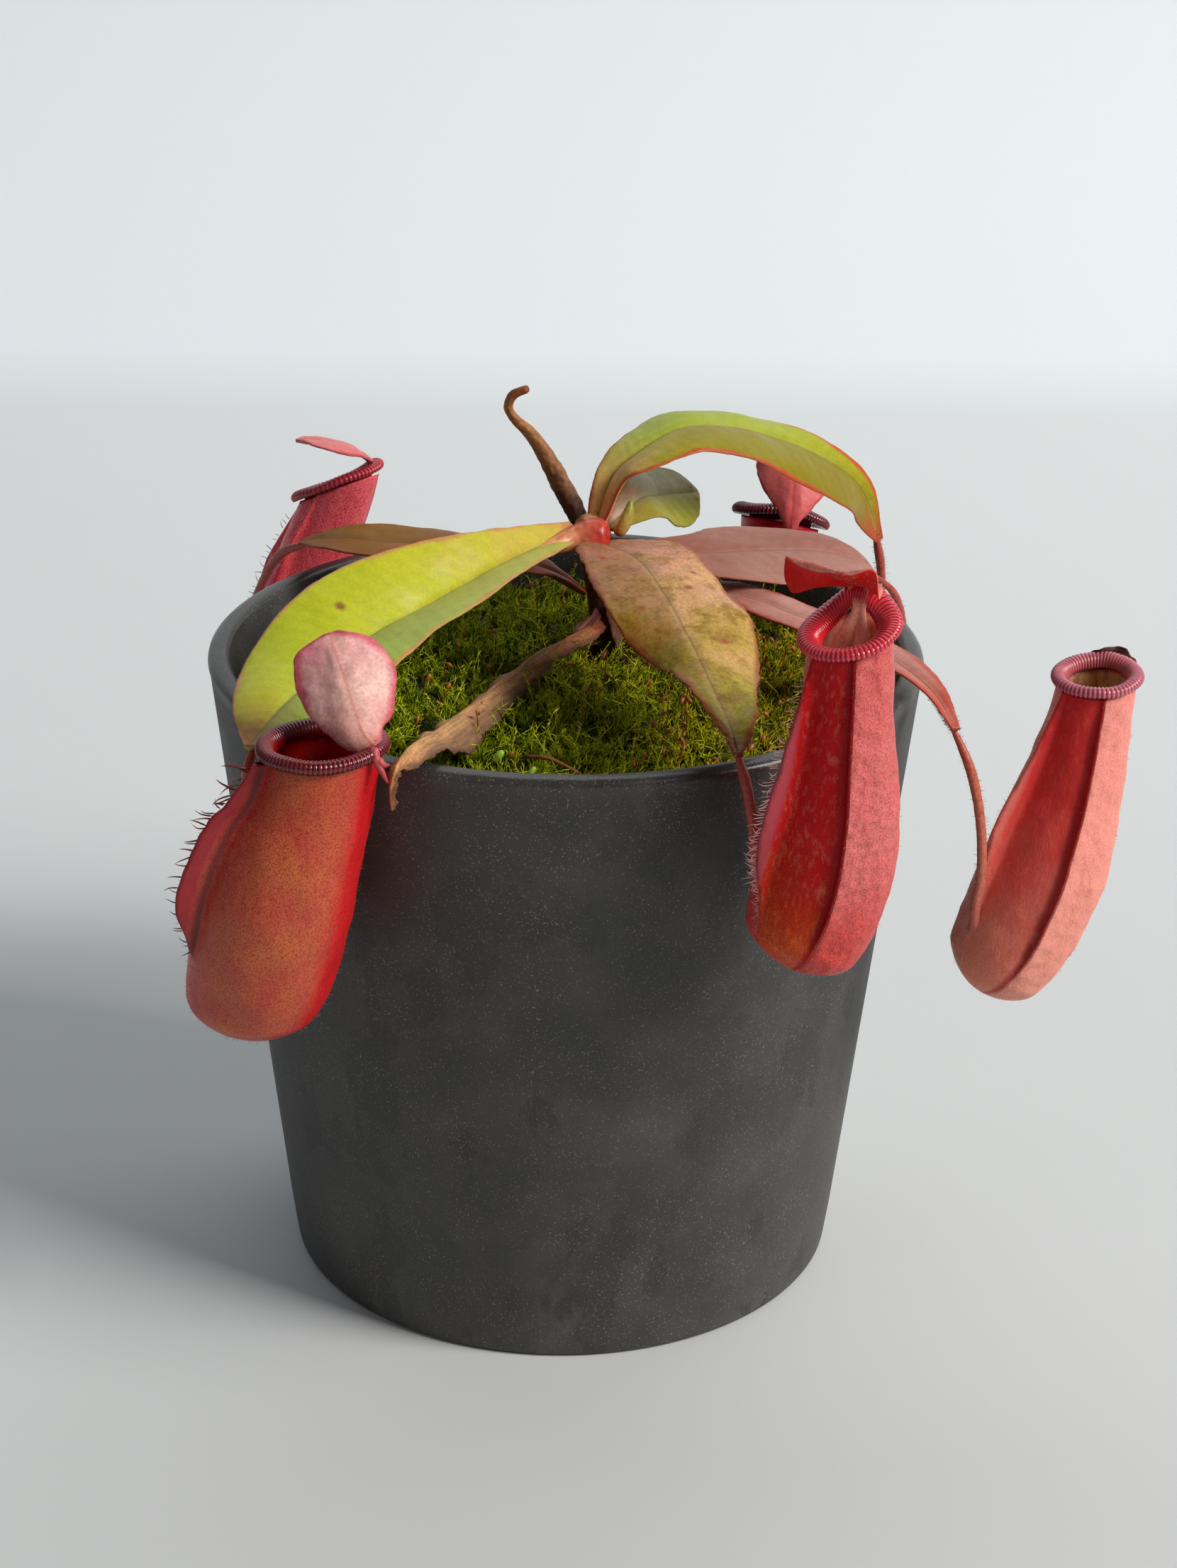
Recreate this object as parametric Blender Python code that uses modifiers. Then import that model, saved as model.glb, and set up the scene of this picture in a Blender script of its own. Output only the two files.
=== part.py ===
"""Potted pitcher plant (a small Nepenthes hybrid) in a tapered plant pot.

Metres, +Z up. The origin is the centre of the pot's flat underside. The plant leans over the rim
on all sides: each leaf runs out into a tendril, and most tendrils carry a hollow pitcher.
"""

import math

import bmesh
import bpy
import numpy as np
from mathutils import Vector

MM = 0.001
GAP = 0.3  # clearance kept between touching pieces, in mm

# Pot, in mm
POT_HEIGHT = 110.4
POT_RIM_RADIUS = 60.0
POT_BASE_RADIUS = 47.7
POT_WALL = 3.7
POT_FLOOR = 4.0
POT_EDGE = 1.4  # radius of the rounded rim and base edge
DRAIN_HOLES = 5
DRAIN_HOLE_RADIUS = 3.5
DRAIN_CIRCLE_RADIUS = 27.0
POT_SEGMENTS = 64

# Filling, in mm
MIX_TOP = 96.0
MOSS_EDGE_TOP = 100.5
MOSS_CROWN_TOP = 103.5
STEM_HOLE_RADIUS = 4.2
MOSS_SHAPE = [(0.0, 0.0), (0.4, 0.3), (0.8, 1.2)]  # share of the way out, drop below the crown
STEM_FOOT = (8.4, 19.0)  # where the stem leaves the moss
ROUND_SEGMENTS = 20
ROOT_BALL_RADIUS = 21.0
ROOT_BALL_DEPTH = 52.0

# Plant tissue, in mm
BLADE_THICKNESS = 0.8
PITCHER_WALL = 0.9
BLADE_ROWS = 12
BLADE_COLUMNS = 6
TENDRIL_POINTS = 13
STEM_POINTS = 10
WING_SPREAD = math.radians(9.0)  # half the foot of a wing ridge, as an angle about the pitcher
OUTSIDE_STEPS = [0, 0.02, 0.07, 0.14, 0.24, 0.35, 0.48, 0.62, 0.76, 0.89, 1.0]
INSIDE_STEPS = [1.0, 0.86, 0.7, 0.52, 0.36, 0.22, 0.14, 0.09]
ROUND_END = 0.14  # share of the line that the rounded bottom takes
SLANT_FROM = 0.55  # share of the line above which rings tilt towards the mouth's plane
LIP_AROUND = 24
LIP_SECTION = 6
WELD = 1e-6  # metres

# Each stem-like piece is a route of points in mm with radii at even steps along it.
STEM = {
    "route": [
        (8.5, 19, 96.6), (7.0, 19, 106), (5.6, 19, 114), (4.8, 19, 119.5), (4.2, 19, 123.5),
        (4.4, 19.6, 127.0),
    ],
    "radius": [3.0, 2.7, 2.4, 2.7, 3.3, 2.0],
}
DEAD_STALK = {
    "route": [
        (1.5, 22.6, 126.5), (-0.7, 22.2, 130.3), (-3.1, 22, 135), (-6, 21.6, 139.8), (-8.8, 21, 142.8),
        (-10.2, 20.5, 145.2), (-9.4, 20, 147.6), (-6.7, 19.5, 149),
    ],
    "radius": [2.2, 2.4, 2.1, 1.6, 1.2, 1.1, 1.1, 0.9],
}
GROWING_TIP = {
    "route": [(8.4, 18.6, 123.2), (9.6, 18.9, 125.0), (10.4, 19.3, 127.0), (10.9, 20.0, 129.2)],
    "radius": [1.0, 1.2, 1.0, 0.4],
}

# Leaf blades: midrib in mm, half widths either side of it, the way the upper side faces,
# the fold of the two halves up from flat and the droop of their edges, in degrees.
LEAVES = {
    "front_left": {
        "midrib": [
            (1.3, 17.1, 124.4), (-10.5, 2.5, 123.5), (-21, -9, 121), (-31, -20.5, 119),
            (-38, -32, 117), (-44, -44, 115.5), (-48, -55, 113.5),
        ],
        "left": [1.3, 6.0, 9.5, 11, 10, 7.5, 0.8],
        "right": [1.3, 5.5, 9.5, 11.5, 11, 7.5, 0.8],
        "faces": [(0.25, -0.45, 0.85), (0.15, -0.3, 0.95), (0.1, -0.1, 1), (0, 0, 1)],
        "fold": [20, 32, 34, 30, 22, 15, 8],
        "droop": [0, 10, 20, 25, 30, 30, 10],
    },
    "front_right": {
        "midrib": [
            (6.2, 15.9, 122.6), (12, -2, 125.5), (16, -18, 125), (19.5, -31, 122.5),
            (22.5, -43, 119.5), (25, -53.5, 117), (26, -59, 114.8),
        ],
        "left": [2.0, 9, 12, 12.5, 9, 4.5, 0.8],
        "right": [2.0, 8, 9.5, 7.5, 6, 3.5, 0.8],
        "faces": [(0.1, -0.2, 1), (0.05, -0.1, 1), (0, 0, 1), (0, -0.1, 1)],
        "fold": [10, 8, 5, 0, 0, 8, 10],
        "droop": [0, 10, 20, 30, 20, 0, 0],
        "ripple": 1.2,
        "waves": 3,
    },
    "low_right": {
        "midrib": [
            (8.6, 17.9, 111.6), (19, 14, 114.8), (29, 8, 116.2), (38, 0, 115.6),
            (46, -8, 115), (54, -18, 113.8), (59, -25, 111.6), (62.5, -30, 107.3),
        ],
        "left": [1.2, 3, 4.2, 4.5, 4.2, 3.6, 2.4, 0.8],
        "right": [1.2, 3, 4.2, 4.5, 4.2, 3.6, 2.4, 0.8],
        "faces": [(0.1, -0.2, 1), (0.2, -0.3, 1), (0.3, -0.3, 1)],
        "fold": [15, 10, 8, 8, 12, 15, 20, 20],
        "droop": [0, 10, 10, 10, 10, 10, 0, 0],
    },
    "arching_right": {
        "midrib": [
            (4.9, 20.1, 127.6), (7.8, 21.3, 133.0), (12.6, 23, 137), (19.5, 26.5, 140), (28, 31, 139),
            (37, 36, 135.4), (45.5, 40, 130.6), (52.5, 43, 124.3), (56.5, 45, 114),
        ],
        "left": [1.2, 3.5, 7, 8.5, 8.5, 7.5, 6.5, 5, 0.8],
        "right": [1.2, 4.5, 7.5, 8.5, 9, 8.5, 6.5, 3.5, 0.8],
        "faces": [(-0.5, -0.1, 0.8), (-0.4, -0.1, 0.9), (0, -0.1, 1), (0.4, -0.2, 0.9), (0.9, -0.3, 0.4)],
        "fold": [35, 28, 20, 12, 10, 12, 20, 20, 10],
        "droop": [0, 15, 35, 40, 40, 35, 20, 0, 0],
    },
    "back_right": {
        "midrib": [
            (7.9, 19.6, 120.6), (17, 17, 121), (24.5, 16.8, 120.7), (32, 19.5, 120.2),
            (38.5, 22, 119.5), (45, 24.5, 118.4), (51, 26, 116.4), (54.5, 27, 113.6),
        ],
        "left": [1.2, 5, 8.5, 10, 9.5, 7.5, 4, 0.8],
        "right": [1.2, 5.5, 9.5, 11.5, 11, 9, 5, 0.8],
        "faces": [(0.1, -0.1, 1), (0.2, -0.1, 1), (0.4, -0.1, 1)],
        "fold": [12, 8, 5, 5, 8, 10],
        "droop": [0, 8, 12, 12, 8, 0],
    },
    "young": {
        "midrib": [
            (6.6, 21.6, 124.6), (9.8, 26, 127.0), (13.6, 30.5, 128.2), (18, 34.5, 128.0),
            (22.6, 38.5, 126.4),
        ],
        "left": [1.0, 3, 4.2, 3.6, 0.6],
        "right": [1.0, 6, 9.5, 8.5, 0.6],
        "faces": [(-0.1, -0.75, 0.6)],
        "fold": [20, 15, 10, 10, 10],
        "droop": [0, 10, 20, 20, 0],
    },
    "back_left": {
        "midrib": [
            (3.2, 16.9, 113.4), (-2.8, 16.2, 117.3), (-9.3, 18, 118.8), (-18.5, 22, 119.3),
            (-30, 27, 118.6), (-40, 33, 117.3), (-47.7, 40, 114.4),
        ],
        "left": [1.2, 3.4, 4.5, 6, 6, 4.5, 0.8],
        "right": [1.2, 3.4, 4.5, 6, 6, 4.5, 0.8],
        "faces": [(0, 0, 1), (-0.1, 0, 1), (-0.3, 0, 1)],
        "fold": [12, 10, 8, 8, 10, 10],
        "droop": [0, 10, 15, 15, 10, 0],
    },
}
DEAD_LEAF = {
    "midrib": [
        (5.6, 16.4, 107.5), (-3, 2, 108.7), (-7, -10, 108.8), (-11.5, -23, 109.3),
        (-17.5, -40, 110.8), (-22.5, -52, 113.1), (-25.2, -60.2, 114.4), (-25.9, -63.6, 110.5),
        (-26.1, -63.2, 106.5),
    ],
    "left": [1.1, 1.8, 4.2, 6.0, 6.0, 4.4, 1.6, 0.8, 0.6],
    "right": [1.1, 1.6, 2.2, 2.6, 2.8, 2.4, 1.2, 0.8, 0.6],
    "faces": [(-0.2, -0.3, 1), (-0.3, -0.3, 1), (0.1, -0.2, 1), (-0.2, -0.3, 1), (-0.5, -1.0, 0.3)],
    "fold": [30, 35, 25, 20, 25, 30, 40, 40, 40],
    "droop": [0],
    "ripple": 0.8,
    "waves": 4,
}

# Tendrils: from just past a leaf's tip to just short of what they carry, in mm.
TENDRILS = {
    "front_left": [
        (-48.1, -55.4, 112.9), (-48.4, -54.6, 109.5), (-48.9, -51.0, 104), (-50.0, -47.2, 96),
        (-51.0, -44.6, 87), (-51.6, -43.8, 78), (-52.3, -46.0, 72.5),
    ],
    "front_right": [
        (26.1, -59.5, 114.3), (26.8, -62.8, 110.5), (26.8, -66.6, 104.5), (26.0, -70.2, 95),
        (26.2, -70.4, 88.0),
    ],
    "low_right": [
        (62.8, -30.3, 106.8), (65, -31.4, 101), (66.3, -33.4, 93), (66.2, -35.2, 84), (64.6, -35.8, 76),
        (62.6, -34.6, 69.5),
    ],
    "arching_right": [(56.6, 45.1, 113.4), (57.2, 46.0, 108), (57.4, 47.6, 101), (57.2, 48.6, 94)],
    "back_right": [
        (54.8, 27.2, 113.3), (58.5, 31, 108), (61.0, 38, 96), (60.8, 48, 80), (57.5, 60, 66),
        (51.5, 70, 58), (46.5, 73.2, 58.6), (43.0, 71.4, 62.8),
    ],
    "back_left": [(-48.0, 40.4, 114.1), (-52.5, 46, 109.5), (-57.5, 52, 99), (-61, 57, 86), (-60.6, 60, 77)],
}
TENDRIL_RADIUS = [0.9, 0.85, 0.85, 0.9, 1.0]

# Pitchers: centre line from the bottom to the mouth in mm, half widths across and along the way
# that the front faces (degrees from +X towards +Y), wing heights, and which way the mouth looks.
PITCHERS = {
    "front_left": {
        "line": [
            (-49.2, -57, 66.4), (-48.4, -57.3, 73), (-46.4, -58, 80), (-44.2, -59.5, 90), (-41.2, -60, 100),
            (-38.6, -60, 107), (-36.6, -60, 114.3),
        ],
        "front": 152,
        "across": [8.4, 10.2, 12, 12, 10.5, 9.4, 8.9],
        "along": [9, 10.6, 11.5, 12, 11, 9.5, 8.3],
        "wing_at": 56,
        "wings": ([0, 0, 0.3, 3.6, 6, 5, 0.5], [0, 0, 0.3, 3.6, 6, 5, 0.5]),
        "mouth": (0, 0, 1),
        "lip": (1.3, 1.1),
    },
    "front_right": {
        "line": [
            (30.6, -65.5, 86.4), (33.4, -64.4, 86.2), (37, -63.2, 90), (39, -63, 95), (40.3, -63.5, 101),
            (41, -64.5, 109),
            (41.2, -65, 118), (41.4, -65, 127), (41.5, -65, 136.2),
        ],
        "front": 247,
        "across": [5.5, 7.2, 9, 10, 10.3, 9.4, 7.8, 6.8, 6.3],
        "along": [5.5, 7, 8.6, 9.4, 9.7, 8.8, 7.4, 6.5, 5.9],
        "wing_at": 36,
        "wings": ([0, 1.5, 3.6, 5, 5.4, 5, 3.8, 2.2, 0.3], [0, 0.6, 1.2, 1.4, 1.4, 1.4, 1.3, 1, 0.3]),
        "mouth": (-0.25, -0.21, 1),
        "lip": (1.2, 1.0),
    },
    "low_right": {
        "line": [
            (64.6, -29.6, 64.6), (67.8, -29, 64.6), (71.6, -28, 67.4), (75.2, -27.2, 72.6),
            (78.6, -26.6, 80.5), (80.6, -26.2, 87.5),
            (82.4, -26, 96), (84, -26, 105.5), (85.2, -26, 114.5),
        ],
        "front": 250,
        "across": [5, 6.8, 8.8, 10, 10.3, 9.6, 8.2, 7.0, 6.2],
        "along": [5, 6.5, 8.2, 9, 9.2, 8.6, 7.5, 6.5, 5.8],
        "wing_at": 38,
        "wings": ([0, 1.5, 3.2, 4.4, 4.8, 4.6, 3.6, 2.2, 0.3], [0, 0.6, 1.2, 1.4, 1.4, 1.4, 1.3, 1, 0.3]),
        "mouth": (0, -0.26, 1),
        "lip": (1.2, 0.9),
    },
    "back_right": {
        "line": [
            (41.5, 70.5, 63), (41.3, 69, 65.5), (41, 67.2, 71), (40.8, 66.2, 79), (40.4, 65.4, 88),
            (40, 64.8, 98), (39.7, 64, 111),
        ],
        "front": 100,
        "across": [5, 7.2, 9, 9.6, 9.2, 8, 7.2],
        "along": [5, 7.2, 9, 9.6, 9.2, 8, 7.0],
        "wing_at": 36,
        "wings": ([0, 1.5, 2.5, 2.8, 2.8, 2.4, 0.3], [0, 1.5, 2.5, 2.8, 2.8, 2.4, 0.3]),
        "mouth": (0.2, 0.33, 1),
        "lip": (1.3, 1.0),
    },
    "back_left": {
        "line": [
            (-56, 60, 75), (-54.5, 60, 76.5), (-52.6, 60, 81), (-50.8, 60, 88), (-48.8, 59.8, 97),
            (-45.8, 59, 108), (-42, 57.5, 119),
        ],
        "front": 190,
        "across": [4.5, 6, 7.4, 8, 7.4, 6.2, 5.3],
        "along": [4.5, 6, 7.4, 8, 7.4, 6.2, 5.3],
        "wing_at": 40,
        "wings": ([0, 1.2, 2.2, 2.5, 2.5, 2, 0.3], [0, 1.2, 2.2, 2.5, 2.5, 2, 0.3]),
        "mouth": (-0.37, 0.3, 1),
        "lip": (1.1, 0.8),
    },
}
YOUNG_PITCHER = {
    "line": [
        (57.0, 49.3, 93.2), (56.6, 51.8, 90.8), (56.0, 55.2, 91), (55.0, 57.2, 94.5), (54.6, 58.0, 99),
        (54.4, 58.4, 104),
    ],
    "radius": [1.6, 2.4, 3.1, 3.2, 2.5, 1.4],
}

# Lids: the same kind of blade as a leaf, from the hinge at the back of the mouth to the tip.
LIDS = {
    "front_left": {
        "midrib": [
            (-28.3, -64.0, 117.6), (-30.0, -63.0, 119.3), (-31.6, -61.2, 123.0), (-33.0, -59, 126.7),
            (-34.5, -56.8, 130.1), (-35.3, -55.4, 132.3),
        ],
        "left": [0.9, 5, 7.8, 8.2, 6.3, 0.5],
        "right": [0.9, 5, 7.8, 8.2, 6.3, 0.5],
        "faces": [(0, -0.9, 0.45)],
        "fold": [-25, -20, -14, -12, -10, 0],
        "droop": [0, 10, 20, 20, 20, 0],
    },
    "front_right": {
        "midrib": [
            (43.2, -58.8, 140.8), (42.2, -60.4, 142.2), (39.6, -63.4, 144.2), (37.0, -66.4, 145.6),
            (34.6, -69, 146),
        ],
        "left": [0.9, 5.5, 7.6, 6.2, 0.5],
        "right": [0.9, 5.5, 7.6, 6.2, 0.5],
        "faces": [(0.4, 0.4, 0.85)],
        "fold": [5, 10, 10, 10, 0],
        "droop": [0, 20, 30, 30, 0],
        "ripple": 0.8,
        "waves": 2,
    },
    "low_right": {
        "midrib": [(88.4, -18.3, 115.4), (89.2, -17.8, 116.2), (90.2, -17.7, 116.9), (91.4, -18.1, 117.3)],
        "left": [1.6, 2.2, 2.2, 0.8],
        "right": [1.8, 2.6, 2.4, 0.8],
        "faces": [(0, -0.8, 0.6)],
        "fold": [20, 35, 45, 50],
        "droop": [0, 0, 0, 0],
        "ripple": 0.6,
        "waves": 2,
    },
    "back_right": {
        "midrib": [
            (41.2, 54.2, 112.5), (41.3, 54.5, 115.5), (41.6, 56.2, 119.5), (41.9, 58.8, 124.0),
            (41.9, 61.8, 127.6),
        ],
        "left": [0.9, 3.4, 6.2, 6.6, 0.5],
        "right": [0.9, 3.4, 6.2, 6.6, 0.5],
        "faces": [(0, -0.95, 0.3)],
        "fold": [-20, -15, -10, -10, 0],
        "droop": [0, 10, 20, 20, 0],
    },
    "back_left": {
        "midrib": [
            (-36.2, 56.9, 123.9), (-36.8, 56.8, 125.2), (-40.2, 56.4, 127.2), (-45, 56.1, 128.2),
            (-49.7, 56, 128.5),
        ],
        "left": [0.9, 3, 6, 5.5, 0.5],
        "right": [0.9, 3, 6, 5.5, 0.5],
        "faces": [(0.2, 0.4, 0.93)],
        "fold": [0],
        "droop": [0, 10, 10, 10, 0],
    },
}


def clear_scene():
    for obj in list(bpy.data.objects):
        bpy.data.objects.remove(obj)


def new_collection(name):
    collection = bpy.data.collections.new(name)
    bpy.context.scene.collection.children.link(collection)
    return collection


def new_material(name, colour, roughness):
    material = bpy.data.materials.new(name)
    material.use_nodes = True
    shader = material.node_tree.nodes["Principled BSDF"]
    shader.inputs["Base Color"].default_value = (*colour, 1.0)
    shader.inputs["Roughness"].default_value = roughness
    shader.inputs["Metallic"].default_value = 0.0
    return material


def along(values, t):
    """Values at even steps, read at t (0 to 1) on a smooth curve through them."""
    values = np.asarray(values, float)
    last = len(values) - 1
    if last == 0:
        return values[0]
    place = min(max(t, 0.0), 1.0) * last
    i = min(int(place), last - 1)
    f = place - i
    p1, p2 = values[i], values[i + 1]
    p0 = values[i - 1] if i > 0 else 2 * p1 - p2
    p3 = values[i + 2] if i + 2 <= last else 2 * p2 - p1
    squared = (2 * p0 - 5 * p1 + 4 * p2 - p3) * f**2
    cubed = (3 * p1 - p0 - 3 * p2 + p3) * f**3
    return (2 * p1 + (p2 - p0) * f + squared + cubed) / 2


def frame_at(route, t, facing):
    """Point, tangent, facing direction and the direction to its right, at t along a route."""
    step = 1e-3
    tangent = Vector(along(route, min(t + step, 1))) - Vector(along(route, max(t - step, 0)))
    tangent.normalize()
    facing = Vector(facing)
    facing = (facing - facing.dot(tangent) * tangent).normalized()
    return Vector(along(route, t)), tangent, facing, tangent.cross(facing)


def sheet(name, columns, rows, place):
    """A grid whose points go where place(u, v) says, both 0 to 1, welded where they meet."""
    bm = bmesh.new()
    bmesh.ops.create_grid(bm, x_segments=columns, y_segments=rows, size=0.5)
    for vert in bm.verts:
        vert.co = place(vert.co.x + 0.5, vert.co.y + 0.5) * MM
    bmesh.ops.remove_doubles(bm, verts=bm.verts, dist=WELD)
    bmesh.ops.recalc_face_normals(bm, faces=bm.faces)
    mesh = bpy.data.meshes.new(name)
    bm.to_mesh(mesh)
    bm.free()
    mesh.shade_smooth()
    return bpy.data.objects.new(name, mesh)


def finish(obj, collection, material):
    collection.objects.link(obj)
    obj.data.materials.append(material)
    return obj


def blade(name, shape, rows=BLADE_ROWS, columns=BLADE_COLUMNS):
    """A leaf blade or lid: a sheet folded along its midrib, given its thickness."""

    def place(u, v):
        point, _, up, right = frame_at(shape["midrib"], v, along(shape["faces"], v))
        side = 2 * u - 1
        width = abs(side) * float(along(shape["right" if side > 0 else "left"], v))
        lift = float(along(shape["fold"], v)) - float(along(shape["droop"], v)) * abs(side) / 2
        lift = math.radians(lift)
        phase = math.tau * shape.get("waves", 0) * v + (1.3 if side > 0 else 0)
        wave = shape.get("ripple", 0) * side**2 * math.sin(phase) * math.sin(math.pi * v)
        sideways = math.copysign(width * math.cos(lift), side)
        return point + right * sideways + up * (width * math.sin(lift) + wave)

    obj = sheet(name, columns, rows, place)
    solid = obj.modifiers.new("thickness", "SOLIDIFY")
    solid.thickness = BLADE_THICKNESS * MM
    solid.offset = 0
    return obj


def pitcher_radius(shape, t, angle):
    """Vector from the centre line to the skin, without wings, at an angle from the front."""
    heading = math.radians(shape["front"])
    point, tangent, front, side = frame_at(shape["line"], t, (math.cos(heading), math.sin(heading), 0))
    radius = front * math.cos(angle) * float(along(shape["along"], t))
    radius += side * math.sin(angle) * float(along(shape["across"], t))
    return point, tangent, radius


def mouth_shift(shape, t, tangent, radius):
    """How far a skin point slides along the pitcher so that the mouth lies in its slanted plane."""
    look = Vector(shape["mouth"]).normalized()
    share = min(max((t - SLANT_FROM) / (1 - SLANT_FROM), 0.0), 1.0)
    share = share * share * (3 - 2 * share)
    return tangent * (-radius.dot(look) / max(tangent.dot(look), 0.2) * share)


def pitcher_angles(shape):
    """Angles about the pitcher, close together at the two wings and wide apart behind."""
    wing = math.radians(shape["wing_at"])
    near = [0.0, wing * 0.5, wing - WING_SPREAD, wing, wing + WING_SPREAD]
    back = [wing + WING_SPREAD + (math.pi - wing - WING_SPREAD) * k / 5 for k in range(1, 6)]
    half = near + back
    return [-a for a in reversed(half)] + half[1:]


def pitcher(name, shape):
    """A hollow pitcher: one skin that runs up the outside, over the mouth and down the inside."""
    angles = pitcher_angles(shape)
    steps = OUTSIDE_STEPS + INSIDE_STEPS
    wing = math.radians(shape["wing_at"])
    left, right = shape["wings"]

    def place(u, v):
        angle = angles[round(u * (len(angles) - 1))]
        row = round(v * (len(steps) - 1))
        t = steps[row]
        inside = row >= len(OUTSIDE_STEPS)
        point, tangent, radius = pitcher_radius(shape, t, angle)
        start = INSIDE_STEPS[-1] if inside else 0.0
        grown = min((t - start) / ROUND_END, 1.0)
        radius *= math.sqrt(max(1 - (1 - grown) ** 2, 0.0))
        if inside:
            radius *= max(1 - PITCHER_WALL / max(radius.length, PITCHER_WALL), 0.0)
        elif math.isclose(abs(angle), wing):
            height = float(along(left if angle < 0 else right, t))
            radius += radius.normalized() * height
        return point + radius + mouth_shift(shape, t, tangent, radius)

    return sheet(name, len(angles) - 1, len(steps) - 1, place)


def lip(name, shape):
    """The rolled collar on a pitcher's mouth: an oval section carried round the mouth."""
    thick, high = shape["lip"]
    look = Vector(shape["mouth"]).normalized()

    def place(u, v):
        point, tangent, radius = pitcher_radius(shape, 1.0, math.tau * u)
        rim = point + radius + mouth_shift(shape, 1.0, tangent, radius)
        outward = (rim - point).normalized()
        turn = math.tau * v
        return rim + outward * thick * math.cos(turn) + look * (high * math.sin(turn) + high + GAP)

    return sheet(name, LIP_AROUND, LIP_SECTION, place)


def rod(name, route, radii, points=TENDRIL_POINTS):
    """A round stem or tendril of varying thickness with closed ends."""
    curve = bpy.data.curves.new(name, "CURVE")
    curve.dimensions = "3D"
    curve.bevel_depth = MM
    curve.bevel_resolution = 2
    curve.use_fill_caps = True
    spline = curve.splines.new("POLY")
    spline.points.add(points - 1)
    for i, point in enumerate(spline.points):
        t = i / (points - 1)
        point.co = (*(Vector(along(route, t)) * MM), 1)
        point.radius = float(along(radii, t))
    return bpy.data.objects.new(name, curve)


def turned(name, profile, segments):
    """A round solid turned about Z from (radius, height) pairs in mm, down its outer side."""
    bm = bmesh.new()
    verts = [bm.verts.new((radius * MM, 0, height * MM)) for radius, height in profile]
    for a, b in zip(verts, verts[1:]):
        bm.edges.new((a, b))
    mesh = bpy.data.meshes.new(name)
    bm.to_mesh(mesh)
    bm.free()
    obj = bpy.data.objects.new(name, mesh)
    screw = obj.modifiers.new("turn", "SCREW")
    screw.axis = "Z"
    screw.steps = segments
    screw.render_steps = segments
    screw.use_merge_vertices = True
    screw.merge_threshold = WELD
    return obj


def arc(centre, radius, start, end, steps):
    """Points on an arc in the (radius, height) plane, angles in degrees."""
    points = []
    for i in range(steps + 1):
        angle = math.radians(start + (end - start) * i / steps)
        points.append((centre[0] + radius * math.cos(angle), centre[1] + radius * math.sin(angle)))
    return points


def cutter(obj, collection):
    collection.objects.link(obj)
    obj.hide_render = True
    obj.display_type = "WIRE"
    return obj


def cut(obj, tool):
    boolean = obj.modifiers.new("cut", "BOOLEAN")
    boolean.operation = "DIFFERENCE"
    boolean.object = tool
    boolean.solver = "EXACT"


def cylinder(name, radius, low, high, centre, segments):
    bm = bmesh.new()
    size = radius * MM
    depth = (high - low) * MM
    bmesh.ops.create_cone(bm, cap_ends=True, segments=segments, radius1=size, radius2=size, depth=depth)
    bmesh.ops.translate(bm, verts=bm.verts, vec=Vector((centre[0], centre[1], (low + high) / 2)) * MM)
    mesh = bpy.data.meshes.new(name)
    bm.to_mesh(mesh)
    bm.free()
    return bpy.data.objects.new(name, mesh)


def outer_radius(height):
    return POT_BASE_RADIUS + (POT_RIM_RADIUS - POT_BASE_RADIUS) * height / POT_HEIGHT


def make_pot(collection, cutters, material):
    inner_top = POT_RIM_RADIUS - POT_WALL
    inner_low = outer_radius(POT_FLOOR) - POT_WALL
    profile = [(inner_top, POT_HEIGHT)]
    profile += arc((POT_RIM_RADIUS - POT_EDGE, POT_HEIGHT - POT_EDGE), POT_EDGE, 90, 0, 3)
    profile += arc((POT_BASE_RADIUS - POT_EDGE, POT_EDGE), POT_EDGE, 0, -90, 3)
    profile += [(0, 0)]
    inside = [(0, POT_FLOOR), (inner_low, POT_FLOOR), (inner_top, POT_HEIGHT)]
    body = turned("pot", profile + inside, POT_SEGMENTS)
    for k in range(DRAIN_HOLES):
        angle = math.tau * (k + 0.5) / DRAIN_HOLES
        centre = (DRAIN_CIRCLE_RADIUS * math.cos(angle), DRAIN_CIRCLE_RADIUS * math.sin(angle))
        hole = cylinder(f"drain_hole_{k + 1}", DRAIN_HOLE_RADIUS, -1, POT_FLOOR + 1, centre, 12)
        cut(body, cutter(hole, cutters))
    return finish(body, collection, material)


def make_filling(collection, cutters, materials):
    """Potting mix, the root ball in its pocket and the living moss on top, each a hair apart."""
    wall = POT_WALL + GAP
    mix = turned(
        "potting_mix",
        [
            (0, MIX_TOP), (outer_radius(MIX_TOP) - wall, MIX_TOP),
            (outer_radius(POT_FLOOR) - wall, POT_FLOOR + GAP), (0, POT_FLOOR + GAP),
        ],
        POT_SEGMENTS // 2,
    )
    low = MIX_TOP - ROOT_BALL_DEPTH
    width = ROOT_BALL_RADIUS + GAP
    pocket = cylinder("root_pocket", width, low - GAP, MIX_TOP + 1, STEM_FOOT, ROUND_SEGMENTS)
    cut(mix, cutter(pocket, cutters))
    finish(mix, collection, materials["mix"])

    ball = cylinder("root_ball", ROOT_BALL_RADIUS, low, MIX_TOP, STEM_FOOT, ROUND_SEGMENTS)
    finish(ball, collection, materials["roots"])

    edge = outer_radius(MOSS_EDGE_TOP) - wall
    profile = [(edge * share, MOSS_CROWN_TOP - drop) for share, drop in MOSS_SHAPE]
    profile += [(edge, MOSS_EDGE_TOP), (outer_radius(MIX_TOP) - wall, MIX_TOP + GAP), (0, MIX_TOP + GAP)]
    moss = turned("moss_carpet", profile, POT_SEGMENTS // 2)
    hole = cylinder("stem_hole", STEM_HOLE_RADIUS, MIX_TOP - 1, MOSS_CROWN_TOP + 2, STEM_FOOT, 12)
    cut(moss, cutter(hole, cutters))
    finish(moss, collection, materials["moss"])


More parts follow.
